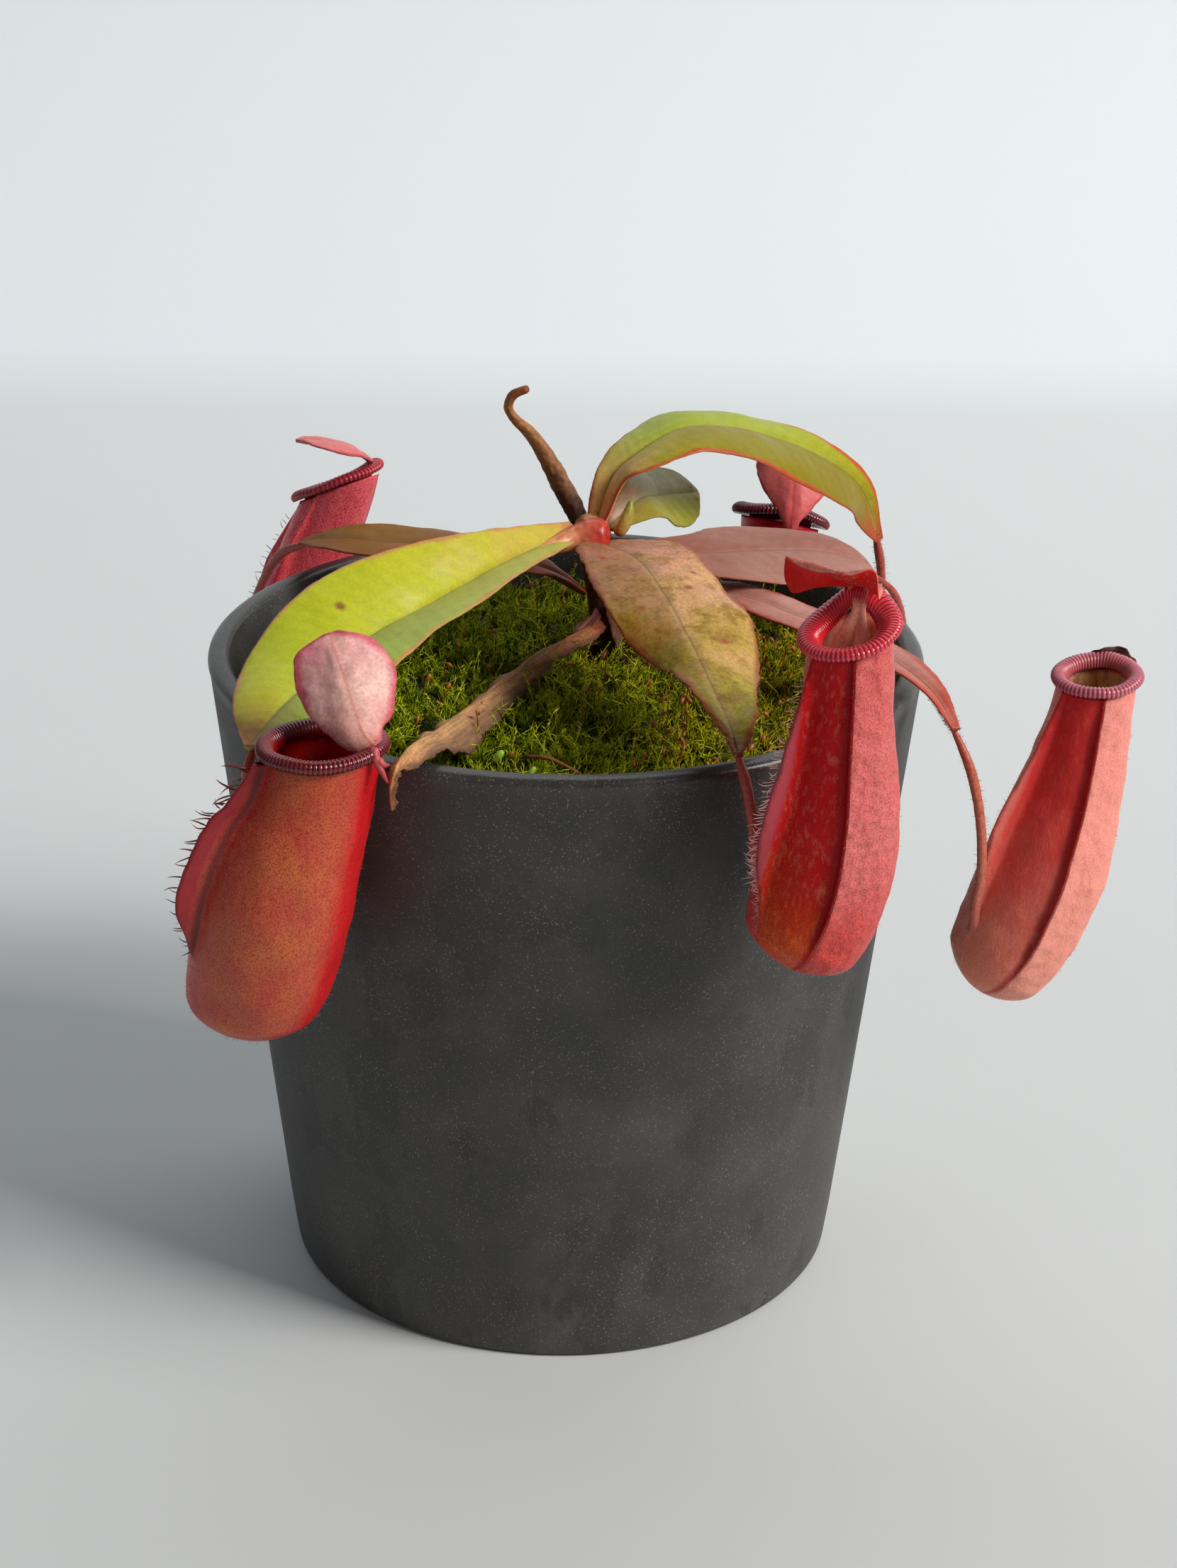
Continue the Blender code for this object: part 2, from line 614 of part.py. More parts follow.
def make_stem(collection, materials):
    finish(rod("stem", STEM["route"], STEM["radius"], STEM_POINTS), collection, materials["stem"])
    finish(rod("dead_stalk", DEAD_STALK["route"], DEAD_STALK["radius"]), collection, materials["dead"])
    tip = rod("growing_tip", GROWING_TIP["route"], GROWING_TIP["radius"], STEM_POINTS)
    finish(tip, collection, materials["leaf"])
    finish(blade("dead_leaf", DEAD_LEAF, rows=18, columns=4), collection, materials["dead"])


def make_leaves(collection, materials):
    for name, shape in LEAVES.items():
        finish(blade(f"leaf_{name}", shape), collection, materials["leaf"])
    for name, route in TENDRILS.items():
        finish(rod(f"tendril_{name}", route, TENDRIL_RADIUS), collection, materials["tendril"])


def make_pitchers(collection, materials):
    for name, shape in PITCHERS.items():
        finish(pitcher(f"pitcher_{name}", shape), collection, materials["pitcher"])
        finish(lip(f"lip_{name}", shape), collection, materials["lip"])
    for name, shape in LIDS.items():
        finish(blade(f"lid_{name}", shape, rows=8, columns=6), collection, materials["lid"])
    young = rod("young_pitcher", YOUNG_PITCHER["line"], YOUNG_PITCHER["radius"], STEM_POINTS)
    finish(young, collection, materials["pitcher"])


def main():
    clear_scene()
    parts = new_collection("potted_pitcher_plant")
    cutters = new_collection("cutters")
    cutters.hide_render = True
    materials = {
        "pot": new_material("pot charcoal composite", (0.030, 0.031, 0.033), 0.62),
        "mix": new_material("potting mix", (0.045, 0.028, 0.016), 0.95),
        "roots": new_material("roots", (0.060, 0.030, 0.015), 0.90),
        "moss": new_material("moss", (0.070, 0.140, 0.015), 0.85),
        "stem": new_material("stem", (0.330, 0.075, 0.040), 0.45),
        "dead": new_material("dead tissue", (0.330, 0.170, 0.080), 0.80),
        "leaf": new_material("leaf", (0.300, 0.360, 0.030), 0.42),
        "tendril": new_material("tendril", (0.420, 0.080, 0.050), 0.45),
        "pitcher": new_material("pitcher", (0.430, 0.050, 0.045), 0.45),
        "lip": new_material("pitcher lip", (0.130, 0.008, 0.018), 0.22),
        "lid": new_material("pitcher lid", (0.480, 0.110, 0.110), 0.50),
    }
    make_pot(parts, cutters, materials["pot"])
    make_filling(parts, cutters, materials)
    make_stem(parts, materials)
    make_leaves(parts, materials)
    make_pitchers(parts, materials)


main()
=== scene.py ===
import math
import random

import bmesh
import bpy
import numpy as np
from mathutils import Matrix, Vector, noise


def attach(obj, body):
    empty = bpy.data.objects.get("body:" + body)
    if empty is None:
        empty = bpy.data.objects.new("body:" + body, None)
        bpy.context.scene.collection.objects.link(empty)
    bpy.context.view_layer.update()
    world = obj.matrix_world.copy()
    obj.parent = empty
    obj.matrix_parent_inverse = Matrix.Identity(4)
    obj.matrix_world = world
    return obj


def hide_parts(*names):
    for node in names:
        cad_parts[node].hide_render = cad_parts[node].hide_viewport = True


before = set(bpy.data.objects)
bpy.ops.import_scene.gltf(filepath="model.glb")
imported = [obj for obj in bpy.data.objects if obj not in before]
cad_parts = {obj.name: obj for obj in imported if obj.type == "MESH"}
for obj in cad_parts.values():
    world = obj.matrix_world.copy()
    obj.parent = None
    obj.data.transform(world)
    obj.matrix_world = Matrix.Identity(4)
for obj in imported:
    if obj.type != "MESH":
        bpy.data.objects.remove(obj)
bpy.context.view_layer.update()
MM = 0.001

# ----------------------------------------------------------------------------
# Pot: one injection-moulded shell of recycled plastic and plant fibre, nearly black, tapered so
# that pots nest. The rim is a flat-topped bead, rubbed a little shinier, and five drain holes
# go through the floor.
# ----------------------------------------------------------------------------
POT_HEIGHT = 110.4
POT_RIM = 60.0
POT_FOOT = 47.7
POT_WALL = 3.7
POT_FLOOR = 4.0
POT_TURNS = 180
FOOT_ROUND = 1.4
WALL_ROWS = 14
INSIDE_STEPS = 8
DRAIN_HOLES = 5
DRAIN_RADIUS = 3.5
DRAIN_CIRCLE = 27.0
DRAIN_CUT = 12


def linear(code):
    """An sRGB hex colour as the linear numbers that a shader takes."""
    parts = [int(code[i : i + 2], 16) / 255 for i in (1, 3, 5)]
    return (*[c / 12.92 if c <= 0.04045 else ((c + 0.055) / 1.055) ** 2.4 for c in parts], 1.0)


def add(tree, kind, inputs=None, stops=None, **settings):
    """Adds a shader node with its settings, its inputs (values or sockets) and a ramp's stops."""
    node = tree.nodes.new("ShaderNode" + kind)
    for name, value in settings.items():
        setattr(node, name, value)
    for key, value in (inputs or {}).items():
        if isinstance(value, bpy.types.NodeSocket):
            tree.links.new(value, node.inputs[key])
        else:
            node.inputs[key].default_value = linear(value) if isinstance(value, str) else value
    for i, (place, colour) in enumerate(stops or []):
        stop = node.color_ramp.elements[i] if i < 2 else node.color_ramp.elements.new(place)
        stop.position = place
        stop.color = linear(colour)
    return node


def new_material(name, **shine):
    """A Principled material by name, with its shader's plain settings; returns it, its tree and shader."""
    material = bpy.data.materials.new(name)
    material.use_nodes = True
    shader = material.node_tree.nodes["Principled BSDF"]
    for key, value in shine.items():
        shader.inputs[key.replace("_", " ")].default_value = value
    return material, material.node_tree, shader


def grains(size):
    """A noise scale that gives marks about this many millimetres across."""
    return 1.0 / (size * MM)


def pot_plastic():
    """Recycled plastic with plant fibre, moulded: matt charcoal, tan fibre flecks, dull scuffs."""
    material, tree, shader = new_material("recycled_plastic_moulded", Roughness=0.55, IOR=1.5)
    place = add(tree, "TexCoord").outputs["Object"]
    height = add(tree, "SeparateXYZ", {0: place}).outputs["Z"]
    cloud = add(tree, "TexNoise", {"Vector": place, "Scale": grains(14), "Detail": 5.0, "Roughness": 0.6})
    # Lighter towards the foot, over a random cloudy tone.
    lean = add(tree, "MapRange", {0: height, 1: 0.075, 2: 0.015, 3: 0.0, 4: 0.1}).outputs[0]
    cloud_and_foot_tone = add(tree, "Math", {0: cloud.outputs[0], 1: lean}, operation="ADD").outputs[0]
    greys = [(0.30, "#2A2A29"), (0.52, "#393836"), (0.70, "#464442"), (0.95, "#5E5C59")]
    base = add(tree, "ValToRGB", {0: cloud_and_foot_tone}, greys).outputs[0]
    fleck = add(tree, "TexNoise", {"Vector": place, "Scale": grains(0.3), "Detail": 1.0}).outputs[0]
    share = add(tree, "TexNoise", {"Vector": place, "Scale": grains(9), "Detail": 1.0}).outputs[0]
    fleck = add(tree, "MapRange", {0: fleck, 1: 0.645, 2: 0.695, 3: 0.0, 4: 1.0}).outputs[0]
    share = add(tree, "MapRange", {0: share, 1: 0.3, 2: 0.7, 3: 0.25, 4: 0.75}).outputs[0]
    fleck = add(tree, "Math", {0: fleck, 1: share}, operation="MULTIPLY").outputs[0]
    low = add(tree, "VectorMath", {0: place, 1: (1.0, 1.0, 0.55)}, operation="MULTIPLY").outputs[0]
    stain = add(
        tree, "TexNoise", {"Vector": low, "Scale": grains(13), "Detail": 7.0, "Roughness": 0.62}
    ).outputs[0]
    stain = add(tree, "MapRange", {0: stain, 1: 0.55, 2: 0.585, 3: 0.0, 4: 0.55}).outputs[0]
    base = add(tree, "Mix", {0: stain, 6: base, 7: "#282827"}, data_type="RGBA").outputs[2]
    skin = add(tree, "Mix", {0: fleck, 6: base, 7: "#9C8872"}, data_type="RGBA").outputs[2]
    tree.links.new(skin, shader.inputs["Base Color"])
    rim = add(tree, "MapRange", {0: height, 1: 0.1070, 2: 0.1100, 3: 0.58, 4: 0.34}).outputs[0]
    dull = add(tree, "MapRange", {0: cloud.outputs[0], 1: 0.3, 2: 0.7, 3: -0.08, 4: 0.1}).outputs[0]
    dull = add(tree, "Math", {0: rim, 1: dull}, operation="ADD").outputs[0]
    tree.links.new(dull, shader.inputs["Roughness"])
    pits = add(tree, "TexNoise", {"Vector": place, "Scale": grains(0.55), "Detail": 3.0}).outputs[0]
    bump = add(tree, "Bump", {"Height": pits, "Strength": 0.35, "Distance": 0.12 * MM})
    tree.links.new(bump.outputs[0], shader.inputs["Normal"])
    return material


def stored(name, bm):
    """The bmesh as a mesh."""
    mesh = bpy.data.meshes.new(name)
    bm.to_mesh(mesh)
    bm.free()
    return mesh


def placed(name, data):
    """A mesh, lamp or camera as an object in the scene."""
    piece = bpy.data.objects.new(name, data)
    bpy.context.scene.collection.objects.link(piece)
    return piece


def keep(name, bm, material, stands_for=(), slot=None):
    """Turns a bmesh into a finished piece that rides with the plant."""
    mesh = stored(name, bm)
    mesh.shade_smooth()
    piece = placed(name, mesh)
    mesh.materials.append(material)
    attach(piece, "root")
    if stands_for:
        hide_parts(*stands_for)
    return piece


def turned(profile, steps):
    """A bmesh of the profile, (radius, height) pairs in mm, spun once about Z."""
    bm = bmesh.new()
    verts = [bm.verts.new((radius * MM, 0, height * MM)) for radius, height in profile]
    edges = [bm.edges.new(pair) for pair in zip(verts, verts[1:])]
    bmesh.ops.spin(
        bm, geom=verts + edges, cent=(0, 0, 0), axis=(0, 0, 1), angle=math.tau, steps=steps, use_merge=True
    )
    bmesh.ops.remove_doubles(bm, verts=bm.verts, dist=1e-6)
    bmesh.ops.recalc_face_normals(bm, faces=bm.faces)
    return bm


def outer_radius(height):
    """Radius of the pot's tapered outside at a height."""
    return POT_FOOT + (POT_RIM - POT_FOOT) * height / POT_HEIGHT


def make_pot():
    inner = POT_RIM - POT_WALL
    low = outer_radius(POT_FLOOR) - POT_WALL
    foot = [
        (POT_FOOT + FOOT_ROUND * (math.sin(a) - 1), FOOT_ROUND - FOOT_ROUND * math.cos(a))
        for a in np.linspace(0, math.pi / 2, 5)
    ]
    wall = [(outer_radius(h), h) for h in np.linspace(8, POT_HEIGHT - 3.2, WALL_ROWS)]
    # The bead of the rim: radius, and height below the top.
    bead = [
        (POT_RIM - 0.25, -2.2), (POT_RIM, -1.3), (POT_RIM - 0.12, -0.7), (POT_RIM - 0.6, -0.22),
        (POT_RIM - 1.3, 0), (inner + 1.1, 0), (inner + 0.4, -0.2), (inner + 0.05, -0.7),
    ]
    bead = [(radius, POT_HEIGHT + drop) for radius, drop in bead]
    depth = POT_HEIGHT - POT_FLOOR - 1
    inside = [
        (inner - (inner - low) * k / INSIDE_STEPS, POT_HEIGHT - 1 - depth * k / INSIDE_STEPS)
        for k in range(1, INSIDE_STEPS + 1)
    ]
    floor = [(low * 0.5, POT_FLOOR), (0, POT_FLOOR)]
    profile = [(0, 0), (POT_FOOT * 0.5, 0)] + foot + wall + bead + inside + floor
    pot = keep("pot_shell", turned(profile, POT_TURNS), pot_plastic(), ["pot"], "pot")
    for k in range(DRAIN_HOLES):
        angle = math.tau * (k + 0.5) / DRAIN_HOLES
        bm = bmesh.new()
        bmesh.ops.create_cone(
            bm, cap_ends=True, segments=32, radius1=DRAIN_RADIUS * MM, radius2=DRAIN_RADIUS * MM,
            depth=DRAIN_CUT * MM,
        )
        centre = Vector((math.cos(angle), math.sin(angle), 0)) * DRAIN_CIRCLE * MM
        bmesh.ops.translate(bm, verts=bm.verts, vec=centre)
        cutter = placed("drain_cutter", stored("drain_cutter", bm))
        cut = pot.modifiers.new("drain", "BOOLEAN")
        cut.object = cutter
        bpy.context.view_layer.update()
        done = bpy.data.meshes.new_from_object(pot.evaluated_get(bpy.context.evaluated_depsgraph_get()))
        pot.modifiers.clear()
        pot.data = done
        bpy.data.objects.remove(cutter)
    pot.data.shade_smooth()
    pot.data.set_sharp_from_angle(angle=math.radians(50))


make_pot()

# ----------------------------------------------------------------------------
# Potting mix and root ball: loose bark and peat pressed into the pot, with the plant's fibrous
# roots in the middle. Both are almost all hidden under the moss.
# ----------------------------------------------------------------------------


def crumbs(name, dark, mid, light, size):
    """Bark, peat and root fibre, crumbly and dry: rough, in three browns."""
    material, tree, shader = new_material(name, Roughness=0.95)
    place = add(tree, "TexCoord").outputs["Object"]
    bits = add(tree, "TexVoronoi", {"Vector": place, "Scale": grains(size), "Randomness": 1.0})
    fine = add(tree, "TexNoise", {"Vector": place, "Scale": grains(size / 4), "Detail": 4.0}).outputs[0]
    tone = add(tree, "Mix", {0: 0.4, 2: bits.outputs["Distance"], 3: fine}).outputs[0]
    colour = add(tree, "ValToRGB", {0: tone}, [(0.25, dark), (0.5, mid), (0.75, light)]).outputs[0]
    tree.links.new(colour, shader.inputs["Base Color"])
    bump = add(tree, "Bump", {"Height": tone, "Strength": 1.0, "Distance": size * 0.4 * MM})
    tree.links.new(bump.outputs[0], shader.inputs["Normal"])
    return material


def recoat(node, material):
    """A CAD node that stays as it is, with a finished material."""
    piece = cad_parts[node]
    piece.data.materials.clear()
    piece.data.materials.append(material)


recoat("potting_mix", crumbs("bark_and_peat_mix", "#1B130D", "#3B2A1D", "#6A5138", size=4))
recoat("root_ball", crumbs("fibrous_roots", "#2A1A10", "#54381F", "#8A6A45", size=1.6))

# ----------------------------------------------------------------------------
# Moss: a living carpet on top of the mix. Short leafy shoots make the green felt, taller shoots
# stand out of it, and thin brown stalks carry spore capsules. Dry bits lie between them.
# ----------------------------------------------------------------------------
MOSS_EDGE = 54.9
MOSS_FLOOR = 96.3
MOSS_CROWN = 102.6
STEM_FOOT = Vector((8.4, 19.0, 0.0))
LOW_TUFTS = 2200
TALL_SHOOTS = 1300
STRANDS = 1500
CAPSULES = 110
BED_TURNS = 150
BED_RINGS = 64
BED_SKIRT = 0.06
LEAF_TURN = 0.382
rng = random.Random(11)


def moss_height(x, y):
    """Height of the moss bed in mm: a low dome with mounds, and a hollow round the stem."""
    out = math.hypot(x, y) / MOSS_EDGE
    mound = 1.6 * noise.noise(Vector((x / 12, y / 12, 3.1))) + 1.1 * noise.noise(Vector((x / 4, y / 4, 8.4)))
    hollow = 4.5 * math.exp(-((x - STEM_FOOT.x - 1.5) ** 2 + (y - STEM_FOOT.y + 4.5) ** 2) / 30)
    return MOSS_CROWN - 2.6 * out**4 + mound - hollow


def moss_felt(name, dark, mid, light, dry):
    """Moss shoots: thin green leaves, fresh at the tips, olive where they age, darkened towards the foot by
    painted shade inside the carpet.
    """
    material, tree, shader = new_material(name, Roughness=0.62, IOR=1.4, Specular_IOR_Level=0.15)
    place = add(tree, "TexCoord").outputs["Object"]
    east = add(tree, "SeparateXYZ", {0: place}).outputs["X"]
    tone = add(tree, "Attribute", attribute_name="tone").outputs["Fac"]
    tip = add(tree, "Attribute", attribute_name="tip").outputs["Fac"]
    patch = add(tree, "TexNoise", {"Vector": place, "Scale": grains(13), "Detail": 2.0}).outputs[0]
    mixed = add(tree, "Mix", {0: 0.45, 2: tone, 3: patch}).outputs[0]
    green = add(tree, "ValToRGB", {0: mixed}, [(0.25, dark), (0.5, mid), (0.75, light)]).outputs[0]
    east = add(tree, "MapRange", {0: east, 1: -0.012, 2: 0.036, 3: 0.0, 4: 0.9}).outputs[0]
    aged = add(tree, "MapRange", {0: tone, 1: 0.55, 2: 0.95, 3: 0.2, 4: 1.0}).outputs[0]
    aged = add(tree, "Math", {0: aged, 1: east}, operation="MULTIPLY").outputs[0]
    green = add(tree, "Mix", {0: aged, 6: green, 7: dry}, data_type="RGBA").outputs[2]
    # Painted shade: each shoot grows darker towards its foot, deep in the carpet.
    shade = add(tree, "MapRange", {0: tip, 1: 0.0, 2: 0.8, 3: 0.1, 4: 1.0}).outputs[0]
    shade = add(tree, "CombineColor", {0: shade, 1: shade, 2: shade}).outputs[0]
    green = add(tree, "Mix", {0: 1.0, 6: green, 7: shade}, data_type="RGBA", blend_type="MULTIPLY").outputs[2]
    tree.links.new(green, shader.inputs["Base Color"])
    return material


def mark(piece, **values):
    """Stores one number a point on a piece, for its material to read."""
    for name, numbers in values.items():
        layer = piece.data.attributes.new(name, "FLOAT", "POINT")
        layer.data.foreach_set("value", np.asarray(numbers, np.float32))


def spike(bm, root, direction, length, width, flat=0.4):
    """A thin three-sided point, such as a moss leaf or a bristle."""
    turn = direction.to_track_quat("Z", "X").to_matrix().to_4x4()
    shape = Matrix.Translation(root) @ turn @ Matrix.Diagonal((1, flat, 1, 1))
    shape = shape @ Matrix.Translation((0, 0, length / 2))
    bmesh.ops.create_cone(bm, cap_ends=True, segments=3, radius1=width, radius2=0, depth=length, matrix=shape)


def as_template(bm):
    """The bmesh as a mesh to copy, with each point's share of its height."""
    bmesh.ops.remove_doubles(bm, verts=bm.verts, dist=1e-7)
    mesh = stored("template", bm)
    up = np.array([v.co.length for v in mesh.vertices])
    return mesh, np.clip(up / up.max(), 0, 1)


def tuft(seed, leaves, reach):
    """A small star of narrow moss leaves."""
    pick = random.Random(seed)
    bm = bmesh.new()
    for k in range(leaves):
        turn = math.tau * (k * LEAF_TURN + pick.uniform(-0.05, 0.05))
        rise = math.radians(pick.uniform(12, 82))
        way = Vector((math.cos(turn) * math.cos(rise), math.sin(turn) * math.cos(rise), math.sin(rise)))
        length = reach * pick.uniform(0.6, 1.0) * MM
        spike(bm, way * 0.1 * MM, way, length, 0.2 * MM, 0.5)
    return as_template(bm)


def shoot(seed, height, leaves):
    """An upright moss shoot: a thin stem with leaves up its length and a star at its top."""
    pick = random.Random(seed)
    bm = bmesh.new()
    lean = Vector((pick.uniform(-0.25, 0.25), pick.uniform(-0.25, 0.25), 1)).normalized()
    spike(bm, Vector(), lean, height * MM, 0.13 * MM, 1.0)
    for k in range(leaves):
        share = 0.25 + 0.75 * k / leaves
        turn = math.tau * k * LEAF_TURN
        rise = math.radians(25 + 45 * share)
        way = Vector((math.cos(turn) * math.cos(rise), math.sin(turn) * math.cos(rise), math.sin(rise)))
        length = pick.uniform(1.1, 1.9) * MM
        spike(bm, lean * height * share * 0.92 * MM, way, length, 0.15 * MM, 0.5)
    return as_template(bm)


def strand(seed, height):
    """A long wiry moss shoot that arches over its neighbours, with short leaves set well apart."""
    pick = random.Random(seed)
    bm = bmesh.new()
    sag = pick.uniform(0.5, 1.1)
    steps = 7
    points = [
        Vector((sag * (k / steps) ** 2, 0.12 * math.sin(k), k / steps)) * height * MM
        for k in range(steps + 1)
    ]
    for k in range(steps):
        along = points[k + 1] - points[k]
        spike(bm, points[k], along.normalized(), along.length * 1.7, (0.19 - 0.014 * k) * MM, 1.0)
        for turn in (pick.random() * math.tau, pick.random() * math.tau):
            way = (along.normalized() + Vector((math.cos(turn), math.sin(turn), 0.1)) * 0.9).normalized()
            spike(bm, points[k] + along * pick.random(), way, pick.uniform(0.9, 1.7) * MM, 0.17 * MM, 0.5)
    return as_template(bm)


def scatter(name, templates, places, material, **facts):
    """Copies of the templates at the places, (template number, matrix, tone), as one piece."""
    bm = bmesh.new()
    for number, matrix, _ in places:
        copy = templates[number][0].copy()
        copy.transform(matrix)
        bm.from_mesh(copy)
        bpy.data.meshes.remove(copy)
    piece = keep(name, bm, material, **facts)
    tips = np.concatenate([templates[number][1] for number, _, _ in places])
    tones = np.concatenate([np.full(len(templates[number][1]), tone) for number, _, tone in places])
    mark(piece, tip=tips, tone=tones)
    return piece


def moss_spot():
    """A place on the moss bed, even over its area, outside the stem."""
    while True:
        radius = (MOSS_EDGE - 0.8) * math.sqrt(rng.random())
        turn = rng.random() * math.tau
        x, y = radius * math.cos(turn), radius * math.sin(turn)
        clump = 0.5 + 0.9 * noise.noise(Vector((x / 2.6, y / 2.6, 5.0)))
        if math.hypot(x - STEM_FOOT.x, y - STEM_FOOT.y) > 3.4 and rng.random() < clump:
            return x, y


def stand(x, y, lift, size, lean):
    """Where a template stands on the bed, turned at random and leaning by up to so many radians."""
    tilt = Matrix.Rotation(rng.uniform(-lean, lean), 4, "X")
    tilt = tilt @ Matrix.Rotation(rng.uniform(-lean, lean), 4, "Y")
    turn = Matrix.Rotation(rng.random() * math.tau, 4, "Z")
    foot = Vector((x, y, moss_height(x, y) + lift)) * MM
    return Matrix.Translation(foot) @ tilt @ turn @ Matrix.Scale(size, 4)


def make_moss():
    bm = bmesh.new()
    bmesh.ops.create_grid(bm, x_segments=BED_TURNS, y_segments=BED_RINGS, size=0.5)
    for vert in bm.verts:
        turn = math.tau * (vert.co.x + 0.5)
        share = (vert.co.y + 0.5) * (1 + BED_SKIRT)
        radius = MOSS_EDGE * min(share, 1.0)
        x, y = radius * math.cos(turn), radius * math.sin(turn)
        top = moss_height(x, y) + 0.25 * noise.noise(Vector((x, y, 0)) * 0.9)
        top -= (top - MOSS_FLOOR) * max(0.0, share - 1.0) / BED_SKIRT
        vert.co = Vector((x, y, top)) * MM
    bmesh.ops.remove_doubles(bm, verts=bm.verts, dist=1e-6)
    bmesh.ops.holes_fill(bm, edges=[e for e in bm.edges if e.is_boundary], sides=0)
    bmesh.ops.recalc_face_normals(bm, faces=bm.faces)
    # The bed seen between the shoots is a near-black green: painted shade of the carpet's depths.
    shaded_depths_felt = moss_felt("moss_bed_painted_shade", dark="#0C0F03", mid="#1E2604", light="#3C4408", dry="#40300C")
    bed = keep("moss_bed", bm, shaded_depths_felt, ["moss_carpet"], "moss")
    mark(bed, tone=[rng.random() for _ in bed.data.vertices], tip=[0.75] * len(bed.data.vertices))

    green = moss_felt("moss_leaves", dark="#34500A", mid="#96AC04", light="#DCE008", dry="#B47C10")
    low = [tuft(seed, leaves=11, reach=3.5) for seed in range(5)]
    places = []
    for _ in range(LOW_TUFTS):
        x, y = moss_spot()
        number = rng.randrange(len(low))
        places.append((number, stand(x, y, -0.2, rng.uniform(0.75, 1.15), 0.5), rng.random()))
    scatter("moss_low_tufts", low, places, green, slot="moss")
    tall = [shoot(seed, rng.uniform(3.2, 5.6), leaves=11) for seed in range(20, 26)]
    places = []
    for _ in range(TALL_SHOOTS):
        x, y = moss_spot()
        number = rng.randrange(len(tall))
        places.append((number, stand(x, y, -0.8, rng.uniform(0.6, 1.1), 0.45), rng.random()))
    scatter("moss_tall_shoots", tall, places, green, slot="moss")
    wiry = [strand(seed, rng.uniform(4.5, 8.0)) for seed in range(30, 37)]
    places = []
    for _ in range(STRANDS):
        x, y = moss_spot()
        x, y = x * 0.95, y * 0.95
        places.append(
            (rng.randrange(len(wiry)), stand(x, y, -1.0, rng.uniform(0.6, 1.0), 0.7), rng.uniform(0.4, 1.0))
        )
    fresh = moss_felt("moss_strands", dark="#90A808", mid="#BCCC10", light="#DCE444", dry="#C08C24")
    scatter("moss_strands", wiry, places, fresh, slot="moss")


make_moss()

# ----------------------------------------------------------------------------
# Spore stalks and litter: wiry red-brown stalks with a nodding capsule, green when young, and
# one dry bit of old stem that fell on the moss.
# ----------------------------------------------------------------------------
# Fresh green stalks: which template, where it stands and how far it is turned.
FRESH_STALKS = [(0, -20.6, -50.5, 1.2), (1, -6.0, -49.5, 0.2), (1, 8.0, -51, 2.0), (0, -9.0, -40, 3.0)]
TWIG = [(-6.5, -38.5, 105.6), (-2.5, -40.5, 106.0), (1.5, -43.5, 105.2), (4.6, -45.6, 104.0)]


def smooth(values, t):
    """Values at even steps, read at t (0 to 1) on a smooth curve through them."""
    values = np.asarray(values, float)
    last = len(values) - 1
    if last == 0:
        return values[0]
    place = min(max(t, 0.0), 1.0) * last
    i = min(int(place), last - 1)
    f = place - i
    p1, p2 = values[i], values[i + 1]
    p0 = values[i - 1] if i > 0 else 2 * p1 - p2
    p3 = values[i + 2] if i + 2 <= last else 2 * p2 - p1
    squared = (2 * p0 - 5 * p1 + 4 * p2 - p3) * f**2
    cubed = (3 * p1 - p0 - 3 * p2 + p3) * f**3
    return (2 * p1 + (p2 - p0) * f + squared + cubed) / 2


def run_length(route, steps):
    """Length of the smooth curve through a route, in the route's own units."""
    points = [smooth(route, k / steps) for k in range(steps + 1)]
    return sum(np.linalg.norm(end - start) for start, end in zip(points, points[1:]))


def unit(v):
    """The vector at length 1."""
    return v / max(np.linalg.norm(v), 1e-12)


def frame_at(route, t, facing):
    """Point, tangent, facing direction and the direction to its right, at t along a route."""
    tangent = unit(smooth(route, min(t + 1e-3, 1)) - smooth(route, max(t - 1e-3, 0)))
    facing = np.asarray(facing, float)
    facing = unit(facing - facing.dot(tangent) * tangent)
    return smooth(route, t), tangent, facing, np.cross(tangent, facing)


def skin(columns, rows, ring):
    """A grid bent so that each row is what ring(v) gives: points in mm and marks by name."""
    bm = bmesh.new()
    bmesh.ops.create_grid(bm, x_segments=columns, y_segments=rows, size=0.5)
    rings = [ring(k / rows) for k in range(rows + 1)]
    layers = {name: bm.verts.layers.float.new(name) for name in rings[0][1]}
    for vert in bm.verts:
        i, k = round((vert.co.x + 0.5) * columns), round((vert.co.y + 0.5) * rows)
        points, marks = rings[k]
        for name, layer in layers.items():
            vert[layer] = float(marks[name][i])
        vert.co = Vector(points[i]) * MM
    bmesh.ops.remove_doubles(bm, verts=bm.verts, dist=2e-6)
    holes = [edge for edge in bm.edges if edge.is_boundary]
    bmesh.ops.holes_fill(bm, edges=holes, sides=0)
    bmesh.ops.recalc_face_normals(bm, faces=bm.faces)
    return bm


def tube(route, radii, around=14, steps=60, facing=(0.1, 1, 0.2), relief=0.0, squash=1.0):
    """A stalk: a round skin along a route with rounded ends; marks give the place along and round it."""
    turns = np.linspace(0, math.tau, around + 1)
    length = run_length(route, 20)

    def ring(v):
        point, _, out, side = frame_at(route, v, facing)
        radius = float(smooth(radii, v))
        end = min(v, 1 - v) * length / max(radius, 0.05)
        radius *= math.sqrt(max(1 - max(1 - end, 0) ** 2, 0.0))
        points = []
        for turn in turns:
            way = out * math.cos(turn) + side * math.sin(turn) * squash
            rough = 1 + relief * noise.noise(Vector(point + way * radius * 2.5) * 0.9)
            points.append(point + way * radius * rough)
        return points, {"along": np.full(around + 1, v), "round": np.cos(turns)}

    return skin(around, steps, ring)


